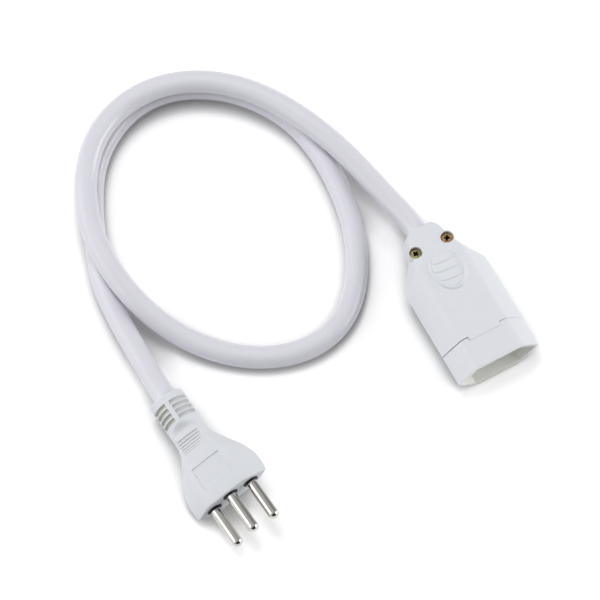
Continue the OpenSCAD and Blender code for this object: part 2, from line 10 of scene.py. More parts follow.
import bmesh
import bpy
import numpy as np
from bpy.props import FloatProperty, FloatVectorProperty, IntProperty, PointerProperty
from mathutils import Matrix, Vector


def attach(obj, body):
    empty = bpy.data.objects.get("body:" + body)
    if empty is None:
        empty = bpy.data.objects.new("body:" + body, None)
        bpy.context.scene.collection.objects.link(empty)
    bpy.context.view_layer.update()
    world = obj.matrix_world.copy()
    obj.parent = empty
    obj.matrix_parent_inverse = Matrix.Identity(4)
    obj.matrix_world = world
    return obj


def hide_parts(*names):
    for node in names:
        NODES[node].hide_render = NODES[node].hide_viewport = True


bl_info = {
    "name": "Extension Cord",
    "version": (1, 0, 0),
    "blender": (4, 5, 0),
    "location": "View3D > Sidebar > Cord",
    "description": "Makes a short extension cord with its plug, cord and connector",
    "category": "Object",
}

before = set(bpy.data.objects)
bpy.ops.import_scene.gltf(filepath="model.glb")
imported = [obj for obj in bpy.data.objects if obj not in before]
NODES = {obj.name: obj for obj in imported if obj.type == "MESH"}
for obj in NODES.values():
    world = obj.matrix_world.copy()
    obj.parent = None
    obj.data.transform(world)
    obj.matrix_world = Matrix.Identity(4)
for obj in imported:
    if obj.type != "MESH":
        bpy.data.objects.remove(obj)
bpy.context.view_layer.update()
BODY = "cordset"
MM = 0.001
TURN = 2 * math.pi


# ---- Sizes and colours -----------------------------------------------------


def distance(name, text, metres):
    """A length property."""
    return FloatProperty(name=name, description=text, default=metres, subtype="DISTANCE")


def angle_of(name, text, degrees):
    """An angle property."""
    value = math.radians(degrees)
    return FloatProperty(name=name, description=text, default=value, subtype="ANGLE")


def tint(name, text, rgb):
    """A colour property."""
    return FloatVectorProperty(
        name=name, description=text, default=(*rgb, 1), size=4, min=0, max=1, subtype="COLOR"
    )


class ConnectorSizes(bpy.types.PropertyGroup):
    """Sizes of the two-part connector"""

    length: distance("Length", "Cord neck to mouth", 0.0686)
    width: distance("Width", "Across the side corners", 0.0388)
    corner: distance("Corner", "Half the width at which the slanted sides would meet", 0.0203)
    height: distance("Height", "Between the two flats", 0.019)
    flat: distance("Flat", "Width of the top and of the bottom flat", 0.0214)
    shroud: distance("Shroud", "Mouth to the cover's front edge", 0.0138)
    seam: distance("Seam", "Gap between cover and shroud", 0.0003)
    tongue_width: distance("Tongue width", "Width of the cover's tongue", 0.0148)
    tongue_length: distance("Tongue length", "Reach of the tongue past the edge", 0.0014)
    wall: distance("Wall", "Wall of base and cover", 0.0015)
    shroud_wall: distance("Shroud wall", "Wall of the mouth", 0.0013)
    recess: distance("Recess", "Depth of the mouth", 0.012)
    web: distance("Web", "Thickness of the wall with the three holes", 0.005)
    hole: distance("Hole", "Radius of the three holes", 0.00245)
    channel: distance("Cord channel", "Radius of the channel for the cord", 0.0053)
    draft: FloatProperty(
        name="Draft",
        description="Width of the neck at the flats, as a share of its width half way up",
        default=0.77,
        subtype="FACTOR",
    )
    end_draft: FloatProperty(
        name="End draft",
        description="Lean of the neck's end and shoulders, as a share along the connector",
        default=0.97,
        subtype="FACTOR",
    )
    neck_drop: distance("Neck drop", "Fall of the cover's top towards the neck", 0.0021)
    blend: FloatProperty(
        name="Blend",
        description="Sharpness of the edges between the large faces",
        default=26.0,
        min=4,
    )
    step_gap: distance("Step gap", "Wider gap at the tongue's left side", 0.0004)
    lip: distance("Lip", "Thickness of the mouth's lower wall", 0.0019)
    edge: distance("Edge", "Radius of the small edges of the moulding", 0.00032)


class PadSizes(bpy.types.PropertyGroup):
    """Sizes of the oval thumb pad on the cover"""

    length: distance("Length", "Along the connector, over the crest of the rim", 0.0184)
    width: distance("Width", "Across the connector, over the crest of the rim", 0.0139)
    middle: distance("Middle", "Place of the middle along the connector", -0.0106)
    aside: distance("Aside", "Place of the middle across the connector", 0.0005)
    rim: distance("Rim", "Half width of the rim's soft ridge", 0.00095)
    rim_height: distance("Rim height", "Height of the rim", 0.0006)
    ledge: distance("Ledge", "Height of the middle ledge", 0.0007)
    bow: FloatProperty(
        name="Bow", description="Bend of the ledges, per mm squared across", default=0.027
    )


class ScrewSizes(bpy.types.PropertyGroup):
    """Sizes of the two cover screws and the holes that they stand in"""

    place: distance("Place", "Mouth to screws", 0.0581)
    pitch: distance("Pitch", "Between the two screws", 0.0151)
    head: distance("Head", "Radius of the head", 0.00265)
    head_height: distance("Head height", "Height of the head", 0.002)
    shank: distance("Shank", "Radius of the shank", 0.0015)
    sink: distance("Sink", "Depth of the counterbore", 0.0046)
    play: distance("Play", "Room round the head", 0.00012)
    cross: distance("Cross", "Length of the cross recess", 0.0026)
    cross_width: distance("Cross width", "Width of the cross recess", 0.001)
    cross_depth: distance("Cross depth", "Depth of the cross recess", 0.0014)


class CordSizes(bpy.types.PropertyGroup):
    """Sizes of the round cord"""

    diameter: distance("Diameter", "Outside diameter", 0.0096)
    length: distance("Length", "Connector to plug", 0.667)
    sides: IntProperty(name="Sides", description="Points round the cord", default=48, min=12)
    step: distance("Step", "Spacing of the rings along the cord", 0.0011)


class PlugSizes(bpy.types.PropertyGroup):
    """Sizes of the plug, in its own frame: face at 0, cord towards -X"""

    length: distance("Length", "Face to cord", 0.0504)
    relief: distance("Relief", "Radius of the strain relief", 0.0078)
    relief_length: distance("Relief length", "Length of the strain relief", 0.0143)
    slot_rows: IntProperty(name="Slot rows", description="Rows of slots", default=4, min=1)
    slot_start: distance("First slot", "Cord end to the first row", 0.0035)
    slot_pitch: distance("Slot pitch", "Spacing of the rows", 0.00243)
    slot: distance("Slot", "Width of a slot along the cord", 0.0018)
    slot_depth: distance("Slot depth", "Depth of the slots", 0.0013)
    slot_rib: distance("Slot rib", "Width of the ribs between the slots", 0.0020)
    slot_turn: angle_of("Slot turn", "Turn of the slots about the cord", 4.8)
    valley: distance("Valley", "Half thickness at the valley before the grip", 0.00615)
    grips: IntProperty(name="Grips", description="Grip grooves on each face", default=6, min=1)
    grip_depth: distance("Grip depth", "Depth of the first groove", 0.00055)
    panel_depth: distance("Panel depth", "Depth of the bare panel", 0.00045)
    pin: distance("Pin", "Radius of a pin", 0.0024)
    pin_length: distance("Pin length", "Face to the pin's tip", 0.019)
    pole_pitch: distance("Pole pitch", "Between the two outer pins", 0.019)
    earth_rise: distance("Earth rise", "Height of the middle pin", 0.003)
    yaw: angle_of("Yaw", "Turn of the plug on the floor", 5)
    roll: angle_of("Roll", "Roll of the plug about the cord", 20)


class Colours(bpy.types.PropertyGroup):
    """Base colours, linear"""

    housing: tint("Housing", "Moulding of the connector", (0.725, 0.742, 0.775))
    plug: tint("Plug", "Moulding of the plug", (0.70, 0.718, 0.75))
    # painted shade: the colour that the plug's slots, grooves and valley are darkened towards
    hollow: tint("Hollow", "The moulding deep in its slots", (0.53, 0.535, 0.465))
    # painted light: the walls inside the mouth are made paler than the housing
    mouth: tint("Mouth", "Inside of the connector's mouth", (0.89, 0.895, 0.85))
    sheath: tint("Sheath", "Sheath of the cord", (0.70, 0.695, 0.752))
    zinc: tint("Zinc", "Yellow zinc of the left screw", (0.54, 0.49, 0.23))
    bronze: tint("Bronze", "Warmer zinc of the right screw", (0.72, 0.46, 0.21))
    nickel: tint("Nickel", "Plated pins", (0.65, 0.63, 0.60))
    brass: tint("Brass", "Contacts", (0.72, 0.52, 0.22))
    copper: tint("Copper", "Bare strands", (0.72, 0.36, 0.22))
    carrier: tint("Carrier", "Black collars of the pins", (0.004, 0.004, 0.009))
    line: tint("Line", "Line core", (0.09, 0.035, 0.018))
    neutral: tint("Neutral", "Neutral core", (0.05, 0.16, 0.48))
    earth: tint("Earth", "Earth core", (0.05, 0.24, 0.07))
    stripe: tint("Stripe", "Stripe of the earth core", (0.75, 0.6, 0.03))
    floor: tint("Floor", "Floor", (0.86, 0.86, 0.87))


GROUPS = {
    "cord_connector": ConnectorSizes,
    "cord_pad": PadSizes,
    "cord_screws": ScrewSizes,
    "cord_cord": CordSizes,
    "cord_plug": PlugSizes,
    "cord_colours": Colours,
}

# The plug's outline: station, half width, half thickness, half flat, squareness
PLUG_FORM = np.array(
    [
        (-38.2, 7.8, 7.4, 7.6, 2.2),
        (-36.6, 7.8, 7.4, 7.4, 2.3),
        (-35.0, 7.8, 7.35, 7.1, 2.8),
        (-33.4, 7.8, 7.35, 6.7, 3.6),
        (-31.8, 7.9, 7.35, 6.4, 5),
        (-28.0, 8.3, 7.35, 6.4, 6),
        (-24.0, 10.2, 7.4, 7.2, 8),
        (-20.0, 12.5, 7.5, 8.2, 9),
        (-16.5, 14.7, 7.65, 8.8, 10),
        (-13.0, 16.4, 7.75, 9.3, 11),
        (-9.5, 17.6, 7.8, 9.6, 12),
        (-5.0, 18.1, 7.8, 9.7, 12),
        (-1.6, 17.9, 7.75, 9.7, 14),
        (-0.4, 17.7, 7.7, 9.6, 14),
        (0.0, 17.7, 7.7, 9.6, 14),
    ]
)
# The middle of the plug's cord end, in the frame
PLUG_END = np.array((-18.7, -129.3, 10.15))
# The plug's bare panel: its two ends along the plug, and half its width
PANEL_BACK, PANEL_FRONT, PANEL_SIDE = -17.0, -7.0, 7.0
# Direction, in degrees, of the column that is bent to follow the panel's long edges
PANEL_COLUMN = 47.9
# The valley between relief and grip: stations, and shares of the fall from the relief's radius
VALLEY = np.array(
    [
        (-36.6, -0.8), (-36.2, -0.1), (-35.4, 0.4), (-34.4, 0.8),
        (-33.4, 1), (-32.75, 1), (-32.35, 0), (-32.1, -0.8),
    ]
)
# Radius of the plug's front edge
EDGE_ROUND = 0.6
# The grip grooves: place of the first, spacing, and what each spacing loses to the next
GRIP_FIRST, GRIP_STEP, GRIP_SHRINK = -29.9, 1.52, 0.055
# Their ends across the plug: left, right of the first groove, and right of the last
GRIP_LEFT, GRIP_RIGHT, GRIP_RIGHT_LAST = -5.6, 5.0, 2.0
# Radius of the cord's channel at the neck of either housing
NECK_BORE = 4.85
# Where the round channel for the cord ends in the connector, and the rings on both sides of that
CHANNEL_END = -19.81
CHANNEL_ROWS = (-19.82, -19.8)
# How far the cord's channel runs into the plug
PLUG_CHANNEL = 22.9
# Sharpness of the edges inside the connector's walls
INNER_BLEND = 60
# Half the connector's width by distance from the neck's end; it is full at the shoulder
PLAN_AT = (-3, 0, 2, 6, 10.9)
PLAN_HALF = (3.4, 6.0, 8.5, 10.1, 11.0)
# The thumb pad's ledges: where each ends along the connector, and its share of the height
LEDGE_ENDS = (-22.4, -18.4, -14.4, -10.35, -6.2, -2.6, 1.2)
LEDGE_SHARES = (0.0, 0.45, 0.95, 1.0, 0.95, 0.5, 0.0)
# Mouth to the shoulder, where the connector's sides turn in and its end starts to lean
SHOULDER = 45.3
# Where the cover's top starts to fall, and where it is down
FALL_START, FALL_END = -17, -26.5

# The cord's route over the floor, from the connector's neck to the plug
ROUTE = np.array(
    [
        (-34.3, 0, 9.5), (-52.6, -3.8, 10), (-69.5, -7.6, 11.8), (-86.3, -12.5, 13.9),
        (-103.3, -19.5, 15), (-118.6, -28, 15), (-131.8, -39.6, 15), (-140.8, -53.2, 15),
        (-145.3, -70, 15), (-143.8, -86, 15), (-136.8, -100, 15), (-124.3, -111.5, 15),
        (-108.3, -119.5, 15), (-91.3, -123, 15), (-74.3, -122.5, 13.8), (-58.3, -118.5, 10.6),
        (-43.3, -111, 7.2), (-30.3, -101, 5.2), (-19.8, -88.5, 4.9), (-12.8, -73, 4.9),
        (-11.8, -58, 4.9), (-17.3, -44, 4.9), (-28.3, -33.5, 4.9), (-43.3, -25, 4.9),
        (-60.3, -20, 4.9), (-78.3, -18, 4.9), (-96.4, -18.7, 4.9), (-111.9, -23.3, 4.9),
        (-126.5, -32.6, 4.9), (-137.9, -45.3, 4.9), (-145.2, -61.7, 4.9), (-145.5, -78.1, 4.9),
        (-139.3, -93, 4.9), (-129.3, -105, 4.9), (-114.3, -114.5, 4.9), (-97.3, -121.5, 4.9),
        (-80.3, -127.5, 4.9), (-62.3, -129.3, 6), (-40.3, -129.7, 8.8), (-18.7, -129.3, 10.15),
    ]
)


def in_mm(group):
    """The values of a property group, its lengths in millimetres."""
    made = SimpleNamespace()
    for key, prop in group.bl_rna.properties.items():
        if key not in ("rna_type", "name"):
            value = getattr(group, key)
            setattr(made, key, value / MM if prop.subtype == "DISTANCE" else value)
    return made


def colour(key):
    """A colour of the Colours group as a plain tuple."""
    return tuple(getattr(bpy.context.scene.cord_colours, key))


# ---- Surfaces --------------------------------------------------------------


def smooth(low, high, value):
    """0 below low, 1 above high, and 3t^2 - 2t^3 between them."""
    t = np.clip((value - low) / (high - low), 0, 1)
    return t * t * (3 - 2 * t)


def hermite(x, xs, ys):
    """Cubic through the points (xs, ys), with slopes from each point's two neighbours."""
    slope = np.gradient(ys, xs, axis=0)
    i = np.clip(np.searchsorted(xs, x, side="right") - 1, 0, len(xs) - 2)
    h = (xs[i + 1] - xs[i])[..., None]
    t = (np.clip(x, xs[0], xs[-1]) - xs[i])[..., None] / h
    t2, t3 = t * t, t * t * t
    return (
        (2 * t3 - 3 * t2 + 1) * ys[i]
        + (t3 - 2 * t2 + t) * h * slope[i]
        + (3 * t2 - 2 * t3) * ys[i + 1]
        + (t3 - t2) * h * slope[i + 1]
    )


def grid_faces(rows, cols):
    """Quads of a grid whose columns close round. A row is a ring, by angle from +Y to +Z, and
    rows follow each other so that angle direction x row direction points out."""
    r, c = np.meshgrid(np.arange(rows - 1), np.arange(cols), indexing="ij")
    a, b = r * cols + c, r * cols + (c + 1) % cols
    return np.stack([a, b, b + cols, a + cols], -1).reshape(-1, 4)


def closed_grid(points):
    """Points and faces of a grid of rings (rows, cols, 3), its ends closed by fans to a middle."""
    rows, cols = points.shape[:2]
    flat = points.reshape(-1, 3)
    ends = np.array([points[0].mean(0), points[-1].mean(0)])
    k = np.arange(cols)
    nxt = (k + 1) % cols
    first, last = len(flat), len(flat) + 1
    start = np.stack([np.full(cols, first), nxt, k], -1)
    end = np.stack([np.full(cols, last), (rows - 1) * cols + k, (rows - 1) * cols + nxt], -1)
    return np.concatenate([flat, ends]), [grid_faces(rows, cols), start, end]


def shell(outer, inner, kept):
    """A wall between two grids of rings where kept (rows - 1, cols) is true: the outer quads, the
    inner quads turned round, and a strip along each side of a kept quad whose neighbour isn't."""
    rows, cols = outer.shape[:2]
    n = rows * cols
    quads = grid_faces(rows, cols).reshape(rows - 1, cols, 4)
    faces = [quads[kept], quads[kept][:, ::-1] + n]
    none = np.zeros((1, cols), bool)
    sides = (
        (0, kept, np.concatenate([none, kept[:-1]])),
        (1, kept, np.roll(kept, -1, 1)),
        (2, kept, np.concatenate([kept[1:], none])),
        (3, kept, np.roll(kept, 1, 1)),
    )
    for k, own, neighbour in sides:
        edge = quads[own & ~neighbour]
        a, b = edge[:, k], edge[:, (k + 1) % 4]
        faces.append(np.stack([b, a, a + n, b + n], -1))
    faces = np.concatenate(faces)
    used, index = np.unique(faces, return_inverse=True)
    points = np.concatenate([outer.reshape(-1, 3), inner.reshape(-1, 3)])[used]
    return points, [index.reshape(faces.shape)]


def mesh_object(name, points, faces, values=None):
    """An object at the origin from points in mm and arrays of faces. values maps the names of
    point attributes to arrays."""
    mesh = bpy.data.meshes.new(name)
    mesh.from_pydata(
        (np.asarray(points) * MM).tolist(), [], [f for array in faces for f in array.tolist()]
    )
    for key, value in (values or {}).items():
        mesh.attributes.new(key, "FLOAT", "POINT").data.foreach_set("value", np.ravel(value))
    mesh.shade_smooth()
    made = bpy.data.objects.new(name, mesh)
    bpy.context.scene.collection.objects.link(made)
    return made


def settle(obj):
    """Puts the object's modifiers into its mesh."""
    bpy.context.view_layer.update()
    graph = bpy.context.evaluated_depsgraph_get()
    mesh = bpy.data.meshes.new_from_object(obj.evaluated_get(graph), depsgraph=graph)
    old, obj.data = obj.data, mesh
    obj.modifiers.clear()
    bpy.data.meshes.remove(old)
    mesh.name = obj.name
    return obj


def carve(obj, *cutters, how="DIFFERENCE"):
    """Takes the cutters out of the object, or adds them to it, and removes them."""
    for cutter in cutters:
        cut = obj.modifiers.new("cut", "BOOLEAN")
        cut.operation, cut.solver, cut.object = how, "EXACT", cutter
    settle(obj)
    for cutter in cutters:
        bpy.data.objects.remove(cutter)
    return obj


def soften(obj, width):
    """Rounds the object's edges where it turns by more than 50 degrees, width in mm."""
    bevel = obj.modifiers.new("edges", "BEVEL")
    bevel.width, bevel.segments, bevel.limit_method = width * MM, 2, "ANGLE"
    bevel.angle_limit = math.radians(50)
    bevel.miter_outer = "MITER_ARC"
    return settle(obj)


def join(obj, *others):
    """Adds the meshes of others to the object's, as islands, and removes them."""
    both = bmesh.new()
    both.from_mesh(obj.data)
    for other in others:
        both.from_mesh(other.data)
        bpy.data.objects.remove(other)
    both.to_mesh(obj.data)
    both.free()
    return obj


def sharpen(obj, angle=40):
    """Smooth faces, with sharp edges where the mesh turns by more than the angle."""
    obj.data.shade_smooth()
    obj.data.set_sharp_from_angle(angle=math.radians(angle))
    return obj


def turned(profile, cols, axis="x"):
    """Rings of a turned form: profile is pairs of (place along the axis, radius) in order."""
    profile = np.asarray(profile, float)
    a = np.arange(cols) * TURN / cols
    along = np.repeat(profile[:, :1], cols, 1)
    u, v = profile[:, 1:] * np.cos(a), profile[:, 1:] * np.sin(a)
    order = (along, u, v) if axis == "x" else (u, v, along)
    return np.stack(order, -1)


def arc(cx, cr, radius, start, end, count):
    """Points (place, radius) of an arc about (cx, cr), angles in degrees from the axis."""
    a = np.radians(np.linspace(start, end, count))
    return np.stack([cx + radius * np.cos(a), cr + radius * np.sin(a)], -1)


def dress(obj, body, slot, material, *nodes):
    """Gives a piece its material and puts it on its body in place of nodes. slot is not used."""
    obj.data.materials.clear()
    obj.data.materials.append(material)
    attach(obj, body)
    if nodes:
        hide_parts(*nodes)
    return obj


# ---- Connector -------------------------------------------------------------


def mirrored(quarter):
    """A quarter turn's angles in degrees, mirrored into a full turn, in radians."""
    q = np.asarray(quarter, float)
    full = np.concatenate([q, 180 - q, 180 + q, 360 - q]) % 360
    return np.radians(np.unique(np.round(full, 4)))


def connector_columns(*sides):
    """Directions of the connector's columns: close together where its edges turn, and one at each
    side of the tongue or notch, in degrees."""
    spread = ((0, 9, 1.2), (10, 33, 2.9), (33.5, 51, 1.0), (54, 91, 4.5))
    return mirrored(np.concatenate([*(np.arange(*part) for part in spread), sides]))


def connector_plan(x, s):
    """Half width at mid height by station: straight from the mouth to the shoulder, then in to
    the screws, the neck and its end; a mean over 3 mm rounds the corners."""
    end = -s.length / 2
    xs = end + np.array([*PLAN_AT, s.length - SHOULDER, s.length + 3])
    ws = np.array([*PLAN_HALF, s.width / 2, s.width / 2])
    spread = np.linspace(-1.5, 1.5, 13)
    return np.interp(x[:, None] + spread, xs, ws).mean(1)


def neck_fall(x, s):
    """How far the cover's top lies below the height of the mouth: a smooth step along it."""
    return s.neck_drop * smooth(FALL_START, FALL_END, x)


def connector_radius(angle, x, inset, s, power=None):
    """Distance from the connector's axis to its skin. Each of the planes that bound it is
    a y + b z = 1: the flat (0, 1/t), the slanted side (1/W, (W - f)/(W t)) and the plan, drawn in
    towards the flats, (1/w, (1 - draft)/t). The cover's flat falls towards the neck. An inset d
    divides a plane's term by 1 - d sqrt(a^2 + b^2), and the planes join as
    (sum of terms^power)^(-1/power), where a higher power makes a sharper edge."""
    power = power or s.blend
    c, n = np.abs(np.cos(angle))[None], np.abs(np.sin(angle))[None]
    t, f, corner = s.height / 2, s.flat / 2, s.corner
    w = connector_plan(x, s)[:, None]
    inset = np.asarray(inset, float)[:, None]
    lid = t - neck_fall(x, s)[:, None] * (np.sin(angle) > 0)
    planes = (
        (0 * w, 1 / lid),
        (1 / corner + 0 * w, (corner - f) / (corner * t) + 0 * w),
        (1 / w, (1 - s.draft) / t + 0 * w),
    )
    total = 0
    for a, b in planes:
        total = total + ((a * c + b * n) / (1 - inset * np.hypot(a, b))) ** power
    return total ** (-1 / power)


def connector_points(angle, x, radius, s):
    """Points at distance radius (rows, cols) from the connector's axis. Behind the shoulder,
    places along it shrink by (1 - end_draft) |z| / t, which leans the neck's end."""
    t = s.height / 2
    y, z = radius * np.cos(angle), radius * np.sin(angle)
    shoulder = s.length / 2 - SHOULDER
    lean = 1 - (1 - s.end_draft) * np.abs(z) / t
    along = np.where(x[:, None] < shoulder, shoulder + (x[:, None] - shoulder) * lean, x[:, None])
    return np.stack([along, y, z + t], -1)


def connector_skin(angle, stations, wall, s):
    """Outer and inner grids of the connector's wall. The first rows are the neck's end: flat out
    from the cord, then round over 1 mm. wall gives the inset of the inner grid by station, and a
    negative one is the radius of a round channel."""
    neck, lip, round_r = -s.length / 2, NECK_BORE, 1.0
    turn = np.radians(np.linspace(0, 90, 6))
    x_end = np.concatenate([np.full(2, neck), neck + round_r * (1 - np.cos(turn))])
    inset_end = np.concatenate([np.full(2, round_r), round_r * (1 - np.sin(turn))])
    body = stations[stations > x_end[-1] + 0.05]
    x = np.concatenate([x_end, body])
    inset = np.concatenate([inset_end, 0 * body])
    radius = connector_radius(angle, x, inset, s)
    share = np.ones(len(x))
    share[:2] = (0, 0.5)
    radius = lip + share[:, None] * (radius - lip)
    outer = connector_points(angle, x, radius, s)
    x_in = np.concatenate([np.linspace(neck + 0.1, x_end[-1] - 0.02, len(x_end)), body])
    depth = np.where(x_in < neck + 1.6, -lip, wall(x_in))
    ring = connector_radius(angle, x_in, np.maximum(depth, 0), s, INNER_BLEND)
    ring = np.where(depth[:, None] < 0, -depth[:, None], ring)
    return outer, connector_points(angle, x_in, ring, s), x


def cylinder(name, x, y, z, radius, low, high):
    """An upright cylinder at (x, y, z), from low to high above it."""
    points, faces = closed_grid(turned([(low, radius), (high, radius)], 64, "z"))
    return mesh_object(name, points + np.array((x, y, z)), faces)


def stations_of(s, *extra):
    """Stations along the connector, about 0.8 mm apart, with the extra ones in place of any that
    are nearer than 0.35 mm to them."""
    extra = np.array(extra)
    x = np.linspace(-s.length / 2 + 1.2, s.length / 2, 84)
    x = x[np.abs(x[:, None] - extra).min(1) > 0.35]
    return np.sort(np.concatenate([x, extra]))


def face_middles(angle, x):
    """Station (rows, 1) and direction (1, columns) of the middles of a grid's faces."""
    turn = (angle + np.append(angle[1:], TURN + angle[0]))[None] / 2
    return (x[1:] + x[:-1])[:, None] / 2, turn


def screw_places(s, screws):
    """Where the left and the right cover screw stand."""
    return [(s.length / 2 - screws.place, k * screws.pitch / 2, 0) for k in (-1, 1)]


def make_connector_base(s, screws, plug):
    """The lower half of the connector's wall with the whole shroud and the web in it, whose three
    holes stand where the plug's pins do."""
    mouth = s.length / 2
    part, recess = mouth - s.shroud, mouth - s.recess
    notch_end = part + s.tongue_length + 0.1
    right, left = (
        math.degrees(math.atan2(s.height / 2, s.tongue_width / 2 + gap))
        for gap in (0.08, s.step_gap)
    )
    angle = connector_columns(right, left)
    x = stations_of(s, *CHANNEL_ROWS, part, notch_end, recess - 0.02, recess, mouth)

    def wall(x):
        zones = [x < CHANNEL_END, x < part, x < recess - 0.01]
        return np.select(zones, [-s.channel, s.wall, s.wall + 0.15], s.shroud_wall)

    outer, inner, x = connector_skin(angle, x, wall, s)
    inner[x > recess - 0.01, :, 2] = np.maximum(inner[x > recess - 0.01, :, 2], s.lip)
    middle, turn = face_middles(angle, x)
    upper = turn < math.pi
    lid = upper & (middle < part)
    across = np.cos(turn)
    notch = (across < math.cos(math.radians(right))) & (across > -math.cos(math.radians(left)))
    gap = upper & (middle < notch_end) & notch
    base = mesh_object("socket_base_skin", *shell(outer, inner, ~(lid | gap)))
    pilot = screws.shank + 0.05
    carve(base, *(cylinder("pilot", *at, pilot, 2.4, 12) for at in screw_places(s, screws)))
    soften(base, s.edge)

    columns = mirrored(np.arange(0, 91, 3.0))
    ends = np.array([recess - s.web, recess])
    ring = connector_radius(columns, ends, np.full(2, s.wall + 0.1), s, INNER_BLEND)
    web = mesh_object("web", *closed_grid(connector_points(columns, ends, ring, s)))
    holes = []
    wide = s.hole + 0.8
    profile = [(recess - s.web - 1, s.hole), (recess - 0.6, s.hole)]
    profile += [(recess + 0.1, wide), (recess + 1, wide)]
    aside = plug.pole_pitch / 2
    for y, z in ((-aside, 0), (0, plug.earth_rise), (aside, 0)):
        points, faces = closed_grid(turned(profile, 64))
        holes.append(mesh_object("hole", points + np.array((0, y, s.height / 2 + z)), faces))
    carve(web, *holes)
    return sharpen(join(base, soften(web, 0.12)))


def make_thumb_pad(s, pad):
    """The oval pad, one closed slab. Its top is the cover's top plus a rim and ledges: the rim is
    rim_height cos^2 of the distance from an ellipse, and the ledges, inside it, rise along +X
    towards each line x = x_k - bow (y - 1)^2, which is straight past y = 1 and fades there, and
    fall past it over 0.8 mm."""
    a, b = pad.length / 2, pad.width / 2
    border = pad.rim + 0.15
    x = (a + border) * np.sin(np.linspace(-1, 1, 300) * math.pi / 2 * 0.985)
    chord = (b + border) * np.sqrt(1 - (x / (a + border)) ** 2)
    u = x[:, None] + np.zeros(101)
    v = chord[:, None] * np.linspace(-1, 1, 101)
    ring = np.hypot(u / a, v / b)
    slope = np.hypot(u / a**2, v / b**2) / np.maximum(ring, 0.05)
    away = (ring - 1) / np.maximum(slope, 0.02)
    rim = pad.rim_height * np.cos(np.clip(away / pad.rim, -1, 1) * math.pi / 2) ** 2

    place, y = u + pad.middle, v + pad.aside
    lines = np.array(LEDGE_ENDS)
    heights = pad.ledge * np.array(LEDGE_SHARES)
    lean = place + pad.bow * np.minimum(y - 1, 0) ** 2
    k = np.clip(np.searchsorted(lines, lean, side="right") - 1, 0, len(lines) - 2)
    run = lean - lines[k]
    rise = heights[k + 1] * smooth(-1.2, 1.15, run / (lines[k + 1] - lines[k]))
    rise = rise * np.clip(run / 0.8, 0, 1)
    ledges = np.maximum(rise, heights[k] * (1 - smooth(0, 0.8, run)))
    ledges = ledges * smooth(-0.2, -1.5, away) * (1 - 0.75 * smooth(1.5, 5.5, y))
    rim = rim * (0.4 + 0.6 * smooth(-18.5, -14.5, place))

    top = s.height - neck_fall(place, s)
    z = top - 0.05 * smooth(0.2, 1, away / pad.rim) + np.maximum(rim, ledges)
    upper = np.stack([place, y, z], -1)
    lower = np.stack([place, y, top - 0.5], -1)
    n, m = z.shape
    quads = np.arange(n * m).reshape(n, m)
    top_faces = np.stack([quads[:-1, :-1], quads[1:, :-1], quads[1:, 1:], quads[:-1, 1:]], -1)
    top_faces = top_faces.reshape(-1, 4)
    edge = np.concatenate([quads[:-1, 0], quads[-1, :-1], quads[:0:-1, -1], quads[0, :0:-1]])
    walls = np.stack([edge, edge + n * m, np.roll(edge, -1) + n * m, np.roll(edge, -1)], -1)
    points = np.concatenate([upper.reshape(-1, 3), lower.reshape(-1, 3)])
    return mesh_object("thumb_pad", points, [top_faces, top_faces[:, ::-1] + n * m, walls])


def make_connector_cover(s, pad, screws):
    """The upper half of the connector's wall up to its front edge, with a tongue beyond it, two
    counterbores and the thumb pad."""
    mouth = s.length / 2
    edge = mouth - s.shroud - s.seam
    tip = mouth - s.shroud + s.tongue_length
    side = math.degrees(math.atan2(s.height / 2, s.tongue_width / 2))
    corner = math.degrees(math.atan2(s.height / 2, s.flat / 2))
    angle = connector_columns(side, corner)
    x = stations_of(s, *CHANNEL_ROWS, edge, tip)
    x = x[x <= tip]

    def wall(x):
        return np.select([x < CHANNEL_END, x <= edge + 0.01], [-s.channel, s.wall], 1.4)

    outer, inner, x = connector_skin(angle, x, wall, s)
    middle, turn = face_middles(angle, x)
    upper = turn < math.pi
    tongue = np.abs(np.cos(turn)) < math.cos(math.radians(side))
    kept = upper & ((middle < edge) | tongue)
    # the front edge stands back on the left, and close to the shroud beyond the right corner
    left = np.cos(angle) < -math.cos(math.radians(side - 0.1))
    right = np.cos(angle) > math.cos(math.radians(corner + 0.1))
    shift = np.select([left, right], [-0.14, 0.16], 0)
    front = np.abs(x - edge) < 0.01
    outer[front, :, 0] += shift
    inner[front, :, 0] += shift
    low = s.height / 2 + 0.05
    outer[..., 2], inner[..., 2] = np.maximum(outer[..., 2], low), np.maximum(inner[..., 2], low)
    cover = mesh_object("socket_cover_skin", *shell(outer, inner, kept))
    floor_z = s.height - screws.sink
    boss_top = s.height - 0.8 * s.neck_drop - 0.1
    places = screw_places(s, screws)
    bosses = [cylinder("boss", *place, screws.head + 0.55, 11, boss_top) for place in places]
    carve(cover, *bosses, how="UNION")
    cutters = []
    for place in places:
        cutters.append(cylinder("bore", *place, screws.head + screws.play, floor_z, 25))
        cutters.append(cylinder("hole", *place, screws.shank + screws.play, 5, floor_z + 1))
    carve(cover, *cutters)
    soften(cover, s.edge)
    return sharpen(join(cover, make_thumb_pad(s, pad)))


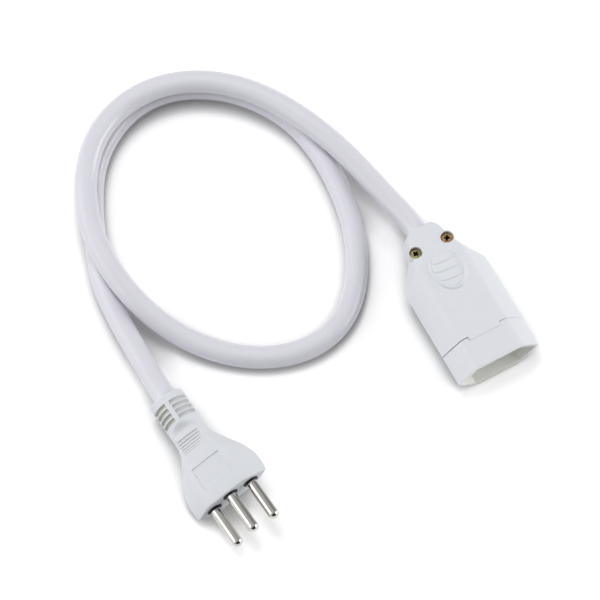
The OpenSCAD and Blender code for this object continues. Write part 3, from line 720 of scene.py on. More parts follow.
def make_cover_screw(name, screws, s, place, turn):
    """A pan-head screw: a turned form whose top is lowered by a cross recess, the depth of which
    is cross_depth times how far a point is inside a wing that narrows outwards."""
    seat = s.height - screws.sink + 0.05
    r, h = screws.head, screws.head_height
    shank = [(3.0, 0.6), (3.6, screws.shank), (seat, screws.shank)]
    shank += [(seat, r - 0.1), (seat + 0.1, r), (seat + 0.9, r)]
    rim = arc(seat + 0.9, r - 0.75, 0.75, 90, 35, 6)
    dome_r = np.linspace(rim[-1, 1] - 0.06, 0.02, 44)
    start = rim[-1, 0]
    dome = np.stack([start + (seat + h - start) * (1 - (dome_r / rim[-1, 1]) ** 2.2), dome_r], -1)
    points = turned(np.concatenate([shank, rim, dome]), 120, "z")
    u = points[..., 0] * math.cos(turn) + points[..., 1] * math.sin(turn)
    v = points[..., 1] * math.cos(turn) - points[..., 0] * math.sin(turn)
    long, short = np.maximum(abs(u), abs(v)), np.minimum(abs(u), abs(v))
    width = screws.cross_width / 2 * (1.12 - 0.45 * long / (screws.cross / 2))
    inside = smooth(-0.05, 0.12, width - short) * smooth(-0.05, 0.25, screws.cross / 2 - long)
    top = points[..., 2] > seat + 0.95
    depth = screws.cross_depth * inside * (1 - 0.3 * long / (screws.cross / 2)) * top
    points[..., 2] -= depth
    grid, faces = closed_grid(points)
    grid = grid + np.array(place)
    # painted shade in the cross recess; the two ends' middles: none at the tip, full at the bottom
    # of the cross
    hollow = np.concatenate([(inside * top).ravel(), [0, 1]])
    return sharpen(mesh_object(name, grid, faces, {"hollow": hollow}))


# ---- Cord ------------------------------------------------------------------


def cord_line(step, yaw):
    """Points along the route and the tangents there: a cubic spline with Catmull-Rom slopes,
    straight into both housings, walked in equal steps. yaw is the plug's."""
    lead = ROUTE[0] + (1.5, 0, 0)
    tail = PLUG_END + 1.5 * np.array((math.cos(yaw), math.sin(yaw), 0))
    knots = np.concatenate([[lead], ROUTE, [tail]])
    gap = np.linalg.norm(np.diff(knots, axis=0), axis=1)
    t = np.concatenate([[0], np.cumsum(gap)])
    fine = np.linspace(0, t[-1], 6000)
    line = hermite(fine, t, knots)
    pad = 55
    for _ in range(3):  # a running mean over 12 mm takes out what is left of the corners
        ahead = line[-1] + (np.arange(1, pad + 1))[:, None] * (line[-1] - line[-2])
        behind = line[0] - (np.arange(pad, 0, -1))[:, None] * (line[1] - line[0])
        long = np.concatenate([behind, line, ahead])
        total = np.cumsum(np.concatenate([np.zeros((1, 3)), long]), 0)
        line = (total[2 * pad + 1 :] - total[: -2 * pad - 1]) / (2 * pad + 1)
    run = np.concatenate([[0], np.cumsum(np.linalg.norm(np.diff(line, axis=0), axis=1))])
    even = np.linspace(0, run[-1], int(run[-1] / step))
    points = np.stack([np.interp(even, run, line[:, k]) for k in range(3)], -1)
    tangent = np.gradient(points, axis=0)
    return points, tangent / np.linalg.norm(tangent, axis=1)[:, None], even


def make_cord(c, yaw):
    """A round tube: each ring is radius (cos a side + sin a up), with side level and square to
    the line, and up square to both. The radius swells by 0.4% with the lay of the three cores,
    one turn in 95 mm."""
    line, tangent, run = cord_line(c.step, yaw)
    side = np.cross(np.array((0, 0, 1.0)), tangent)
    side /= np.linalg.norm(side, axis=1)[:, None]
    up = np.cross(tangent, side)
    a = np.arange(c.sides) * TURN / c.sides
    lay = 1 + 0.004 * np.cos(3 * (a[None] - TURN * run[:, None] / 95))
    radius = c.diameter / 2 * lay
    out = np.cos(a)[None, :, None] * side[:, None] + np.sin(a)[None, :, None] * up[:, None]
    rings = line[:, None] + radius[..., None] * out
    points, faces = closed_grid(rings[:, ::-1])
    along = np.repeat(run, c.sides) * MM
    around = np.tile(a[::-1], len(run)) * c.diameter / 2 * MM
    values = {"along": np.append(along, [0, run[-1] * MM]), "around": np.append(around, [0, 0])}
    return mesh_object("extension_cord", points, faces, values), line


# ---- Plug ------------------------------------------------------------------


def place_plug(points, p):
    """Turns points from the plug's own frame by its roll and yaw and moves them to its place."""
    x, y, z = points[..., 0] + p.length, points[..., 1], points[..., 2]
    cr, sr = math.cos(p.roll), math.sin(p.roll)
    cy, sy = math.cos(p.yaw), math.sin(p.yaw)
    y, z = cr * y - sr * z, sr * y + cr * z
    return np.stack([cy * x - sy * y, sy * x + cy * y, z], -1) + PLUG_END


def bell_radius(angle, x):
    """Radius of the plug's bell, a flat hexagon with rounded edges: with w, t, f and q by
    station, ((s/t)^q + (c/w + s (w - f)/(w t))^q)^(-1/q)."""
    form = hermite(x, PLUG_FORM[:, 0], PLUG_FORM[:, 1:])
    w, t, f, q = (form[:, k : k + 1] for k in range(4))
    c, s = np.abs(np.cos(angle)), np.abs(np.sin(angle))
    return ((s / t) ** q + (c / w + s * (w - f) / (w * t)) ** q) ** (-1 / q)


def plug_stations(p):
    """Stations along the plug's skin: close together at the slots, valley, grooves and panel."""
    slots = slot_lines(p)
    edge = np.array([-0.2, -0.08, 0.0, 0.06, 0.14, 0.25, 0.4])
    near = np.concatenate([slots[:, None] + edge, slots[:, None] + p.slot - edge]).ravel()
    grooves = (grip_lines(p)[:, None] + np.linspace(-0.5, 0.5, 11)).ravel()
    valley = np.concatenate([np.arange(-36.4, -32.9, 0.25), np.arange(-32.9, -32.0, 0.07)])
    step = np.array([-0.3, -0.08, 0, 0.06, 0.3])
    panel = np.concatenate([PANEL_BACK + step, PANEL_FRONT - step])
    even = np.arange(-p.length + EDGE_ROUND, -EDGE_ROUND, 0.5)
    x = np.concatenate([even, near, grooves, valley, panel, [-EDGE_ROUND]])
    x = np.unique(np.round(x, 2))
    keep = np.concatenate([[True], np.diff(x) > 0.025])
    return x[keep]


def slot_lines(p):
    """Places where the rows of slots start."""
    return -p.length + p.slot_start + p.slot_pitch * np.arange(p.slot_rows)


def grip_lines(p):
    """Places of the grip grooves, whose spacing shrinks towards the bell."""
    k = np.arange(p.grips)
    return GRIP_FIRST + GRIP_STEP * k - GRIP_SHRINK * k * k


def make_plug_body(p):
    """The plug's moulding in one closed grid: from the end of the cord's channel out to the rim,
    along relief, waist, bell and panel, round the front edge and in to the middle of the face."""
    fine = [np.arange(low, high, 0.6) for low, high in ((2, 6), (11, 16), (74, 79), (84, 88.5))]
    at_panel = PANEL_COLUMN + np.array([-1.4, -0.6, -0.3, 0, 0.3, 1.1])
    angle = mirrored(np.concatenate([np.arange(0, 90.1, 2.5), *fine, at_panel]))
    x = plug_stations(p)
    # the columns near the panel's long edges bend to follow them, less so up to 9 degrees away
    thick = hermite(x, PLUG_FORM[:, 0], PLUG_FORM[:, 2:3])
    warp = np.degrees(np.arctan2(thick, PANEL_SIDE)) - PANEL_COLUMN
    warp = warp * (smooth(-20, -17.5, x) * (1 - smooth(-6.5, -4, x)))[:, None]
    fold = np.abs((np.degrees(angle) + 90) % 180 - 90)
    sign = np.sign(np.sin(2 * angle))
    bend = np.radians(warp * np.clip(1 - np.abs(fold - PANEL_COLUMN)[None] / 9, 0, 1) * sign[None])
    turn = angle[None] + bend
    c, s = np.cos(turn), np.sin(turn)
    bell = bell_radius(turn, x)

    # strain relief: a turned form that passes over into the bell, with slots between four ribs
    relief_end = -p.length + p.relief_length
    over = smooth(relief_end - 0.2, relief_end + 2.2, x)[:, None]
    radius = p.relief * (1 - over) + bell * over
    slots = slot_lines(p)
    into = smooth(-0.05, 0.3, x[:, None] - slots) * smooth(-0.05, 0.3, slots + p.slot - x[:, None])
    into = into.max(1)[:, None]
    from_rib = turn + p.slot_turn
    across = np.minimum(np.abs(np.cos(from_rib)), np.abs(np.sin(from_rib)))
    across = across * (p.relief - p.slot_depth / 2)
    between = smooth(p.slot_rib / 2 - 0.15, p.slot_rib / 2 + 0.4, across)
    sunk = into * between
    radius = radius - p.slot_depth * sunk

    # the valley: both faces cut down to a level that falls, stays, and rises steeply
    share = np.interp(x, VALLEY[:, 0], VALLEY[:, 1])
    outside, uncut = (x < VALLEY[0, 0]) | (x > VALLEY[-1, 0]), 20
    level = np.where(outside, uncut, p.relief - (p.relief - p.valley) * share)[:, None]
    level = level / np.maximum(np.abs(s), 0.05)
    radius = (radius**-16 + level**-16) ** (-1 / 16)

    # grip grooves, shallower and shorter one after another
    lines = grip_lines(p)
    k = np.arange(p.grips)
    depth = p.grip_depth * (1 - 0.72 * k / (p.grips - 1))
    end = GRIP_RIGHT + (GRIP_RIGHT_LAST - GRIP_RIGHT) * (k / (p.grips - 1)) ** 2
    y = radius * c
    reach = smooth(GRIP_LEFT - 0.4, GRIP_LEFT + 0.3, y[..., None])
    reach = reach * (1 - smooth(end - 0.3, end + 0.5, y[..., None]))
    groove = (1 - smooth(0.1, 0.45, np.abs(x[:, None] - lines)))[:, None] * depth * reach
    groove = groove.max(-1)
    radius = radius - groove / np.maximum(np.abs(s), 0.3)

    # the bare panel, sunk into the upper face
    inside = smooth(PANEL_BACK - 0.01, PANEL_BACK + 0.07, x)
    inside = inside * (1 - smooth(PANEL_FRONT - 0.07, PANEL_FRONT + 0.01, x))
    beside = smooth(PANEL_SIDE - 0.06, PANEL_SIDE + 0.06, np.abs(radius * c))
    inside = inside[:, None] * (1 - beside) * (s > 0)
    radius = radius - p.panel_depth * inside / np.maximum(s, 0.3)

    along = np.broadcast_to(x[:, None], radius.shape)
    skin = np.stack([along, radius * c, radius * s], -1)
    # painted shade on the moulding: its slots (paler on the right), grooves and valley
    shade = np.where(y < 0.6, 1.0, 0.5)
    low = np.interp(x, [-36.0, -34.2, -32.7, -32.3], [0, 0.16, 0.34, 0])[:, None]
    low = low * (1 - smooth(5.2, 6.4, np.abs(y)))
    sunk = np.clip(sunk * shade + groove * 0.9 + low, 0, 1)

    # front edge and face
    edge = np.radians(np.linspace(15, 90, 6))[:, None]
    last, lc, ls = radius[-1], c[-1], s[-1]
    edge_r = last - EDGE_ROUND * (1 - np.cos(edge))
    edge_x = EDGE_ROUND * (np.sin(edge) - 1) + 0 * edge_r
    face_r = edge_r[-1] * np.array([0.96, 0.85, 0.6, 0.3, 0.05])[:, None]
    front_r = np.concatenate([edge_r, face_r])
    front_x = np.concatenate([edge_x, 0 * face_r])
    front = np.stack([front_x, front_r * lc, front_r * ls], -1)

    # channel for the cord and the rim at its mouth
    bore = [(0.3, NECK_BORE), (0.08, NECK_BORE + 0.08), (0, NECK_BORE + 0.3)]
    collar = [(0, p.relief - 0.7), (0.18, p.relief - 0.2), (0.45, p.relief - 0.03)]
    back = [(PLUG_CHANNEL, 0.3), (PLUG_CHANNEL, NECK_BORE), *bore, *collar]
    back = np.array(back) - (p.length, 0)
    around = np.stack([np.cos(angle), np.sin(angle)], -1)
    place = np.repeat(back[:, None, :1], len(angle), 1)
    rim = np.concatenate([place, back[:, None, 1:] * around], -1)
    grid = np.concatenate([rim, skin, front])
    # the painted shade lies on the skin only, none on the rim or the face
    hollow = np.concatenate([0 * rim[..., 0], sunk, 0 * front[..., 0]])
    points, faces = closed_grid(grid)
    hollow = np.append(hollow.ravel(), [0, 0])
    body = mesh_object("plug_moulding", place_plug(points, p), faces, {"hollow": hollow})
    return sharpen(body, 50)


def make_pin(name, p, y, z):
    """A turned pin: crimp barrel, flange, root in the collar, plain shank and a round nose."""
    r, end = p.pin, p.pin_length
    crimp = [(-11.2, 0.02), (-11.2, 1.1), (-15.2, 1.1), (-15.2, 2.0), (-10.2, 2.0)]
    flange = [(-10.2, 3.1), (-9.05, 3.1), (-9.05, r - 0.2)]
    root = [(0.3, r - 0.2), (0.34, r - 0.05), (0.42, r)]
    shank = np.stack([np.linspace(1, end - r, 24), np.full(24, r)], -1)
    profile = np.concatenate([crimp, flange, root, shank, arc(end - r, 0, r, 84, 2, 15)])
    points, faces = closed_grid(turned(profile, 72))
    points = points + np.array((0, y, z))
    values = {"along": points[:, 0] * MM}
    return sharpen(mesh_object(name, place_plug(points, p), faces, values))


# ---- Shader groups ---------------------------------------------------------


def new_group(name, inputs, outputs):
    """A shader node group. inputs maps each input's name to its value, or to None for a vector;
    outputs names its outputs, all floats. Returns the group and its two end nodes."""
    group = bpy.data.node_groups.new(name, "ShaderNodeTree")
    for label, value in inputs.items():
        kind = "NodeSocketVector" if value is None else "NodeSocketFloat"
        socket = group.interface.new_socket(name=label, in_out="INPUT", socket_type=kind)
        if value is not None:
            socket.default_value = value
    for label in outputs:
        group.interface.new_socket(name=label, in_out="OUTPUT", socket_type="NodeSocketFloat")
    return group, group.nodes.new("NodeGroupInput"), group.nodes.new("NodeGroupOutput")


class Net:
    """Short ways to add and link nodes in one tree."""

    def __init__(self, tree):
        self.tree = tree

    def add(self, kind, inputs=None, **settings):
        """A node of the kind with its settings; inputs maps a socket's name or number to a value
        or to another node's socket."""
        made = self.tree.nodes.new(kind)
        for key, value in settings.items():
            setattr(made, key, value)
        for key, value in (inputs or {}).items():
            socket = made.inputs[key]
            if isinstance(value, bpy.types.NodeSocket):
                self.tree.links.new(value, socket)
            else:
                socket.default_value = value
        return made

    def math(self, operation, a, b=0.0, c=0.0):
        """The result of a Math node."""
        return self.add("ShaderNodeMath", {0: a, 1: b, 2: c}, operation=operation).outputs[0]

    def noise(self, vector, scale, detail=2.0, rough=0.5):
        """The Fac of a Noise Texture."""
        inputs = {"Vector": vector, "Scale": scale, "Detail": detail, "Roughness": rough}
        return self.add("ShaderNodeTexNoise", inputs).outputs[0]

    def bands(self, vector, scale, distortion, direction):
        """The Fac of a Wave Texture in bands."""
        inputs = {"Vector": vector, "Scale": scale, "Distortion": distortion}
        kind = {"wave_type": "BANDS", "bands_direction": direction}
        return self.add("ShaderNodeTexWave", inputs, **kind).outputs["Fac"]

    def scaled(self, vector, scale):
        """A vector times a number."""
        inputs = {0: vector, "Scale": scale}
        return self.add("ShaderNodeVectorMath", inputs, operation="SCALE").outputs[0]

    def link(self, output, socket):
        """A link from an output to a socket."""
        self.tree.links.new(output, socket)

    def span(self, value, low, high, to_low=0.0, to_high=1.0):
        """The value moved from one range to another, clamped, with a smooth step."""
        return self.add(
            "ShaderNodeMapRange",
            {0: value, 1: low, 2: high, 3: to_low, 4: to_high},
            interpolation_type="SMOOTHSTEP",
        ).outputs[0]

    def mix(self, fac, a, b):
        """The colour of a Mix node."""
        return self.add("ShaderNodeMix", {0: fac, 6: a, 7: b}, data_type="RGBA").outputs[2]

    def weighed(self, a, share, b):
        """The sum of a share of one value and the rest of another."""
        return self.math("MULTIPLY_ADD", a, share, self.math("MULTIPLY", b, 1 - share))


def group_moulding():
    """Moulded plastic: a spark-eroded grain, slow flow marks and a faint mottle of tone."""
    group, start, end = new_group(
        "Moulding", {"Vector": None, "Grain": 1.0, "Size": 1.0}, ("Height", "Tone", "Rough")
    )
    net = Net(group)
    vector = net.scaled(start.outputs["Vector"], start.outputs["Size"])
    grain = net.noise(vector, 2600.0, 2.0, 0.6)
    flow = net.noise(vector, 60.0, 3.0, 0.5)
    mottle = net.noise(vector, 210.0, 2.0, 0.5)
    fine = net.math("MULTIPLY", grain, start.outputs["Grain"])
    net.link(net.math("MULTIPLY_ADD", flow, 0.35, fine), end.inputs["Height"])
    net.link(net.weighed(mottle, 0.6, flow), end.inputs["Tone"])
    net.link(net.weighed(grain, 0.5, mottle), end.inputs["Rough"])
    return group


def group_drawn():
    """Drawn or turned work: fine lines across one coordinate, broken up along the other."""
    inputs = {"Across": 0.0, "Along": 0.0, "Pitch": 0.0004, "Run": 0.02}
    group, start, end = new_group("Drawn Lines", inputs, ("Height", "Tone"))
    net = Net(group)
    across = net.math("DIVIDE", start.outputs["Across"], start.outputs["Pitch"])
    along = net.math("DIVIDE", start.outputs["Along"], start.outputs["Run"])
    place = net.add("ShaderNodeCombineXYZ", {0: across, 1: along}).outputs[0]
    lines = net.noise(place, 1.0, 3.0, 0.6)
    broad = net.noise(net.scaled(place, 0.23), 1.0, 2.0, 0.5)
    net.link(net.weighed(broad, 0.5, lines), end.inputs["Height"])
    net.link(broad, end.inputs["Tone"])
    return group


def group_wear():
    """Handling: scattered dull spots and faint scuffs, as a mask from 0 to 1."""
    group, start, end = new_group("Handling", {"Vector": None, "Amount": 0.5}, ("Mask",))
    net = Net(group)
    spots = net.span(net.noise(start.outputs["Vector"], 900.0, 3.0, 0.7), 0.6, 0.72)
    patches = net.span(net.noise(start.outputs["Vector"], 120.0, 2.0, 0.5), 0.42, 0.62)
    both = net.math("MULTIPLY", spots, patches)
    net.link(net.math("MULTIPLY", both, start.outputs["Amount"]), end.inputs["Mask"])
    return group


def shared(name):
    """The shader group of that name, built once."""
    makers = {"Moulding": group_moulding, "Drawn Lines": group_drawn, "Handling": group_wear}
    return bpy.data.node_groups.get(name) or makers[name]()


def new_material(name, **uniform):
    """A material with a Principled BSDF whose plain sockets are set. Returns it, its net, its
    shader node and the Object coordinates."""
    made = bpy.data.materials.new(name)
    made.use_nodes = True
    net = Net(made.node_tree)
    shader = made.node_tree.nodes["Principled BSDF"]
    for key, value in uniform.items():
        shader.inputs[key.replace("_", " ")].default_value = value
    return made, net, shader, net.add("ShaderNodeTexCoord").outputs["Object"]


def use(net, name, **inputs):
    """A shared group placed in a material."""
    return net.add("ShaderNodeGroup", inputs, node_tree=shared(name)).outputs


def finish(net, shader, base, rough, height, strength, depth):
    """Links a shader's colour and roughness, and a bump of the height, depth in metres."""
    net.link(base, shader.inputs["Base Color"])
    net.link(rough, shader.inputs["Roughness"])
    bump = net.add("ShaderNodeBump", {"Height": height, "Strength": strength, "Distance": depth})
    net.link(bump.outputs[0], shader.inputs["Normal"])


def shaded(rgba, share):
    """A colour times a share, alpha kept."""
    return (*(c * share for c in rgba[:3]), 1)


def attribute(net, name):
    """The Fac of an Attribute node."""
    return net.add("ShaderNodeAttribute", attribute_name=name).outputs["Fac"]


def inside_mouth(net, place, s):
    """A mask for the painted light on the walls inside the mouth of a connector of sizes s: 1 in
    front of the recess's floor and within the planes that bound the shroud, drawn in by 5%."""
    t, corner, side = s.height / 2 * MM, s.corner * MM, s.width / 2 * MM
    recess = (s.length / 2 - s.recess) * MM
    x, y, z = net.add("ShaderNodeSeparateXYZ", {0: place}).outputs
    high = net.math("ABSOLUTE", net.math("SUBTRACT", z, t))
    wide = net.math("ABSOLUTE", y)
    slope = (s.corner - s.flat / 2) / s.corner / t
    slanted = net.math("MULTIPLY_ADD", high, slope, net.math("DIVIDE", wide, corner))
    flat = net.math("MAXIMUM", net.math("DIVIDE", high, t), net.math("DIVIDE", wide, side))
    within = net.span(net.math("MAXIMUM", flat, slanted), 0.96, 0.94)
    return net.math("MULTIPLY", within, net.span(x, recess - 0.5 * MM, recess + 0.5 * MM))


def plastic(name, key, roughness, grain=1.0, hollow=False, mouth=None, gloss=0.5):
    """Moulded plastic with grain and tone. Its flag after grain darkens it with painted shade by
    the mesh's attribute of that name, and mouth, the sizes of a connector, makes it paler inside
    the mouth as painted light."""
    made, net, shader, place = new_material(name, Roughness=roughness, IOR=1.49)
    shader.inputs["Specular IOR Level"].default_value = gloss
    made_of = use(net, "Moulding", Vector=place, Grain=grain)
    tone = net.span(made_of["Tone"], 0.3, 0.7)
    base = net.mix(tone, shaded(colour(key), 0.985), colour(key))
    worn = use(net, "Handling", Vector=place, Amount=0.5)["Mask"]
    base = net.mix(worn, base, shaded(colour(key), 0.94))
    # painted shade in the slots, grooves and valley, by the mesh's attribute
    if hollow:
        base = net.mix(attribute(net, "hollow"), base, colour("hollow"))
    # painted light: paler inside the mouth
    if mouth:
        base = net.mix(inside_mouth(net, place, mouth), base, colour("mouth"))
    rough = net.span(made_of["Rough"], 0.2, 0.8, roughness - 0.04, roughness + 0.06)
    rough = net.math("MULTIPLY_ADD", worn, 0.1, rough)
    finish(net, shader, base, rough, made_of["Height"], 0.35, 0.00004)
    return made


def sheath_material():
    """Cord sheath: glossy extruded plastic with faint draw lines along it."""
    made, net, shader, place = new_material("Sheath", Roughness=0.2, IOR=1.5)
    around, along = attribute(net, "around"), attribute(net, "along")
    lines = use(net, "Drawn Lines", Across=around, Along=along, Pitch=0.0012, Run=0.09)
    skin = use(net, "Moulding", Vector=place, Grain=0.5, Size=0.7)
    tone = net.span(net.weighed(lines["Tone"], 0.5, skin["Tone"]), 0.3, 0.7)
    base = net.mix(tone, shaded(colour("sheath"), 0.975), colour("sheath"))
    rough = net.span(skin["Rough"], 0.2, 0.8, 0.15, 0.24)
    grain = net.math("MULTIPLY", skin["Height"], 0.35)
    height = net.math("MULTIPLY_ADD", lines["Height"], 0.6, grain)
    finish(net, shader, base, rough, height, 0.3, 0.00006)
    return made


def metal(name, key, roughness, spread):
    """Plated or bare metal with lines across it, mottled tone and dull spots."""
    made, net, shader, place = new_material(name, Metallic=1.0, Roughness=roughness)
    apart = net.add("ShaderNodeSeparateXYZ", {0: place}).outputs
    lines = use(net, "Drawn Lines", Across=apart[0], Along=apart[2], Pitch=0.00025, Run=0.02)
    stain = net.span(net.noise(place, 700.0, 4.0, 0.65), 0.35, 0.7)
    base = net.mix(stain, shaded(colour(key), 0.6), colour(key))
    worn = use(net, "Handling", Vector=place, Amount=0.8)["Mask"]
    base = net.mix(worn, base, shaded(colour(key), 0.5))
    uneven = net.weighed(lines["Tone"], 0.5, stain)
    rough = net.span(uneven, 0.2, 0.8, roughness, roughness + spread)
    finish(net, shader, base, rough, lines["Height"], 0.25, 0.00003)
    return made


# Painted shade at the bottom of a cross recess, nearly black
CROSS_PAINTED_SHADE = (0.008, 0.007, 0.006, 1)


def zinc_material(name, key):
    """Yellow-passivated zinc: mottled gold and olive, with painted shade nearly black in the
    cross.
    """
    made, net, shader, place = new_material(name, Metallic=1.0, Roughness=0.3)
    cloud = net.span(net.noise(place, 900.0, 3.0, 0.6), 0.35, 0.65)
    base = net.mix(cloud, shaded(colour(key), 0.5), colour(key))
    fleck = net.span(net.noise(place, 1700.0, 2.0, 0.6), 0.54, 0.64)
    base = net.mix(fleck, base, shaded(colour(key), 1.7))
    # painted shade: nearly black in the cross recess
    base = net.mix(attribute(net, "hollow"), base, CROSS_PAINTED_SHADE)
    rough = net.span(cloud, 0.0, 1.0, 0.42, 0.3)
    finish(net, shader, base, rough, net.noise(place, 1500.0, 2.0, 0.5), 0.3, 0.00003)
    return made


def plated_material():
    """Bright plating: smooth metal with faint turning lines, a little haze and few dull specks."""
    made, net, shader, place = new_material("Plated Pins", Metallic=1.0, Roughness=0.12)
    along = attribute(net, "along")
    lines = use(net, "Drawn Lines", Across=along, Along=0.0, Pitch=0.00022, Run=0.02)
    haze = net.span(net.noise(place, 260.0, 3.0, 0.6), 0.35, 0.7)
    base = net.mix(haze, shaded(colour("nickel"), 0.93), colour("nickel"))
    worn = use(net, "Handling", Vector=place, Amount=0.35)["Mask"]
    base = net.mix(worn, base, shaded(colour("nickel"), 0.7))
    rough = net.span(haze, 0.0, 1.0, 0.17, 0.11)
    finish(net, shader, base, rough, lines["Height"], 0.08, 0.00002)
    return made


def copper_material():
    """Bare copper strands, twisted: waves along the wire's axis, with painted shade in the gaps.
    """
    made, net, shader, place = new_material("Copper Strands", Metallic=1.0, Roughness=0.32)
    wave = net.bands(place, 900.0, 0.6, "DIAGONAL")
    # painted shade: the bands darken the copper where the strands meet
    base = net.mix(wave, shaded(colour("copper"), 0.45), colour("copper"))
    finish(net, shader, base, net.span(wave, 0.0, 1.0, 0.45, 0.28), wave, 0.7, 0.0001)
    return made


def core_material(name, key, stripe=False):
    """Core insulation: soft satin plastic, the earth core with a yellow stripe."""
    made, net, shader, place = new_material(name, Roughness=0.38)
    skin = use(net, "Moulding", Vector=place, Grain=0.6)
    base = net.mix(net.span(skin["Tone"], 0.3, 0.7), shaded(colour(key), 0.85), colour(key))
    if stripe:
        wave = net.bands(place, 190.0, 0.0, "Y")
        base = net.mix(net.span(wave, 0.55, 0.62), base, colour("stripe"))
    rough = net.span(skin["Rough"], 0.2, 0.8, 0.34, 0.46)
    finish(net, shader, base, rough, skin["Height"], 0.3, 0.00004)
    return made


# ---- Stage -----------------------------------------------------------------


# The camera's turn about the upright and its height above the floor, in degrees, its distance in
# metres, its focal length in mm, and the point on the floor that it looks at
CAMERA_TURN, CAMERA_HEIGHT = 61.3, 68.35
CAMERA_DISTANCE, CAMERA_LENS = 1.6, 226.9
CAMERA_TARGET = Vector((-0.03452, -0.05712, 0))
# The point that the lamps face
LAMP_TARGET = Vector((-0.06, -0.06, 0))


def make_camera():
    """The camera, looking down at the loop."""
    data = bpy.data.cameras.new("camera")
    data.sensor_width, data.lens = 36, CAMERA_LENS
    data.clip_start, data.clip_end = 0.05, 20
    camera = bpy.data.objects.new("camera", data)
    bpy.context.scene.collection.objects.link(camera)
    a, e = math.radians(CAMERA_TURN), math.radians(CAMERA_HEIGHT)
    back = Vector((math.sin(a) * math.cos(e), -math.cos(a) * math.cos(e), math.sin(e)))
    camera.location = CAMERA_TARGET + CAMERA_DISTANCE * back
    camera.rotation_mode = "QUATERNION"
    camera.rotation_quaternion = (-back).to_track_quat("-Z", "Y")
    bpy.context.scene.camera = camera


def make_floor():
    """A wide floor just under the parts. To the camera and in mirrored light it is a mid grey
    that glows up to white where nothing stands near it; other light meets a pale floor."""
    size, drop = 4000.0, 0.05
    corners = [(x * size, y * size, -drop) for x, y in ((-1, -1), (1, -1), (1, 1), (-1, 1))]
    floor = mesh_object("floor", corners, [np.array([[0, 1, 2, 3]])])
    made, net, shader, place = new_material("Floor", Roughness=0.9)
    shader.inputs["Specular IOR Level"].default_value = 0.0
    paper = net.noise(place, 90.0, 4.0, 0.6)
    base = net.mix(paper, shaded(colour("floor"), 0.995), colour("floor"))
    path = net.add("ShaderNodeLightPath")
    seen = net.math("MAXIMUM", path.outputs["Is Camera Ray"], path.outputs["Is Glossy Ray"])
    near = net.add("ShaderNodeAmbientOcclusion", {"Distance": 0.013}, samples=16).outputs["AO"]
    # painted contact shadow: the camera's glow fades where things stand near the floor
    open_share = net.span(near, 0.42, 0.85)
    net.link(net.mix(seen, base, (0.65, 0.65, 0.65, 1)), shader.inputs["Base Color"])
    strength = net.math("MULTIPLY", seen, net.math("MULTIPLY", open_share, 0.48))
    glow = net.add("ShaderNodeEmission", {"Color": (1, 1, 1, 1), "Strength": strength})
    both = net.add("ShaderNodeAddShader", {0: shader.outputs[0], 1: glow.outputs[0]})
    net.link(both.outputs[0], made.node_tree.nodes["Material Output"].inputs["Surface"])
    floor.data.materials.append(made)


def aim(azimuth, height):
    """A direction from the middle of the loop: azimuth in degrees from the camera's right towards
    its top, along the floor, and height in degrees above the floor."""
    a, h = math.radians(CAMERA_TURN + azimuth), math.radians(height)
    return Vector((math.cos(a) * math.cos(h), math.sin(a) * math.cos(h), math.sin(h)))


def make_lamp(name, azimuth, height, distance, width, length, watts, mirrored_in_metal=True):
    """A rectangular soft lamp that faces the middle of the loop. Metal and gloss mirror it only
    where mirrored_in_metal is true."""
    data = bpy.data.lights.new(name, "AREA")
    data.shape, data.size, data.size_y = "RECTANGLE", width, length
    data.energy = watts
    lamp = bpy.data.objects.new(name, data)
    bpy.context.scene.collection.objects.link(lamp)
    way = aim(azimuth, height)
    lamp.location = LAMP_TARGET + distance * way
    lamp.rotation_mode = "QUATERNION"
    lamp.rotation_quaternion = (-way).to_track_quat("-Z", "Y")
    lamp.visible_glossy = mirrored_in_metal


def make_world():
    """A pale even dome, a little brighter where it is mirrored, that is nearly dark low on the
    camera's lower right and half as bright higher up on its upper right. White to the camera."""
    world = bpy.data.worlds.new("studio")
    world.use_nodes = True
    bpy.context.scene.world = world
    net = Net(world.node_tree)
    path = net.add("ShaderNodeLightPath")
    place = net.add("ShaderNodeTexCoord").outputs["Generated"]
    strength = net.math("MULTIPLY_ADD", path.outputs["Is Glossy Ray"], 0.15, 0.44)
    # each patch: its middle, the cosines of its inner and outer edge, and the light that is left
    patches = ((aim(300, 18), 0.81, 0.68, 0.06), (aim(55, 32), 0.95, 0.84, 0.52))
    for way, inner, outer, left in patches:
        dot = net.add("ShaderNodeVectorMath", {0: place, 1: tuple(way)}, operation="DOT_PRODUCT")
        share = net.span(dot.outputs["Value"], outer, inner, 1.0, left)
        strength = net.math("MULTIPLY", strength, share)
    soft = world.node_tree.nodes["Background"]
    soft.inputs["Color"].default_value = (0.98, 0.985, 1, 1)
    net.link(strength, soft.inputs["Strength"])
    white = net.add("ShaderNodeBackground", {"Color": (1, 1, 1, 1), "Strength": 1.0})
    ways = {0: path.outputs["Is Camera Ray"], 1: soft.outputs[0], 2: white.outputs[0]}
    both = net.add("ShaderNodeMixShader", ways)
    net.link(both.outputs[0], world.node_tree.nodes["World Output"].inputs["Surface"])


# ---- Operators -------------------------------------------------------------


class CORD_OT_stage(bpy.types.Operator):
    """Make the camera, lamps, world and floor"""

    bl_idname = "cord.stage"
    bl_label = "Stage"

    def execute(self, context):
        context.scene.view_settings.view_transform = "Standard"
        make_camera()
        make_world()
        make_floor()
        # azimuth and height in degrees, distance, width and length in metres, watts
        make_lamp("left softbox", 188, 36, 1.5, 1.9, 1.2, 10.4)
        make_lamp("right softbox", 0, 16, 1.5, 1.2, 0.7, 12.0)
        make_lamp("top softbox", 120, 73, 1.5, 0.5, 0.4, 7.8, mirrored_in_metal=False)
        return {"FINISHED"}


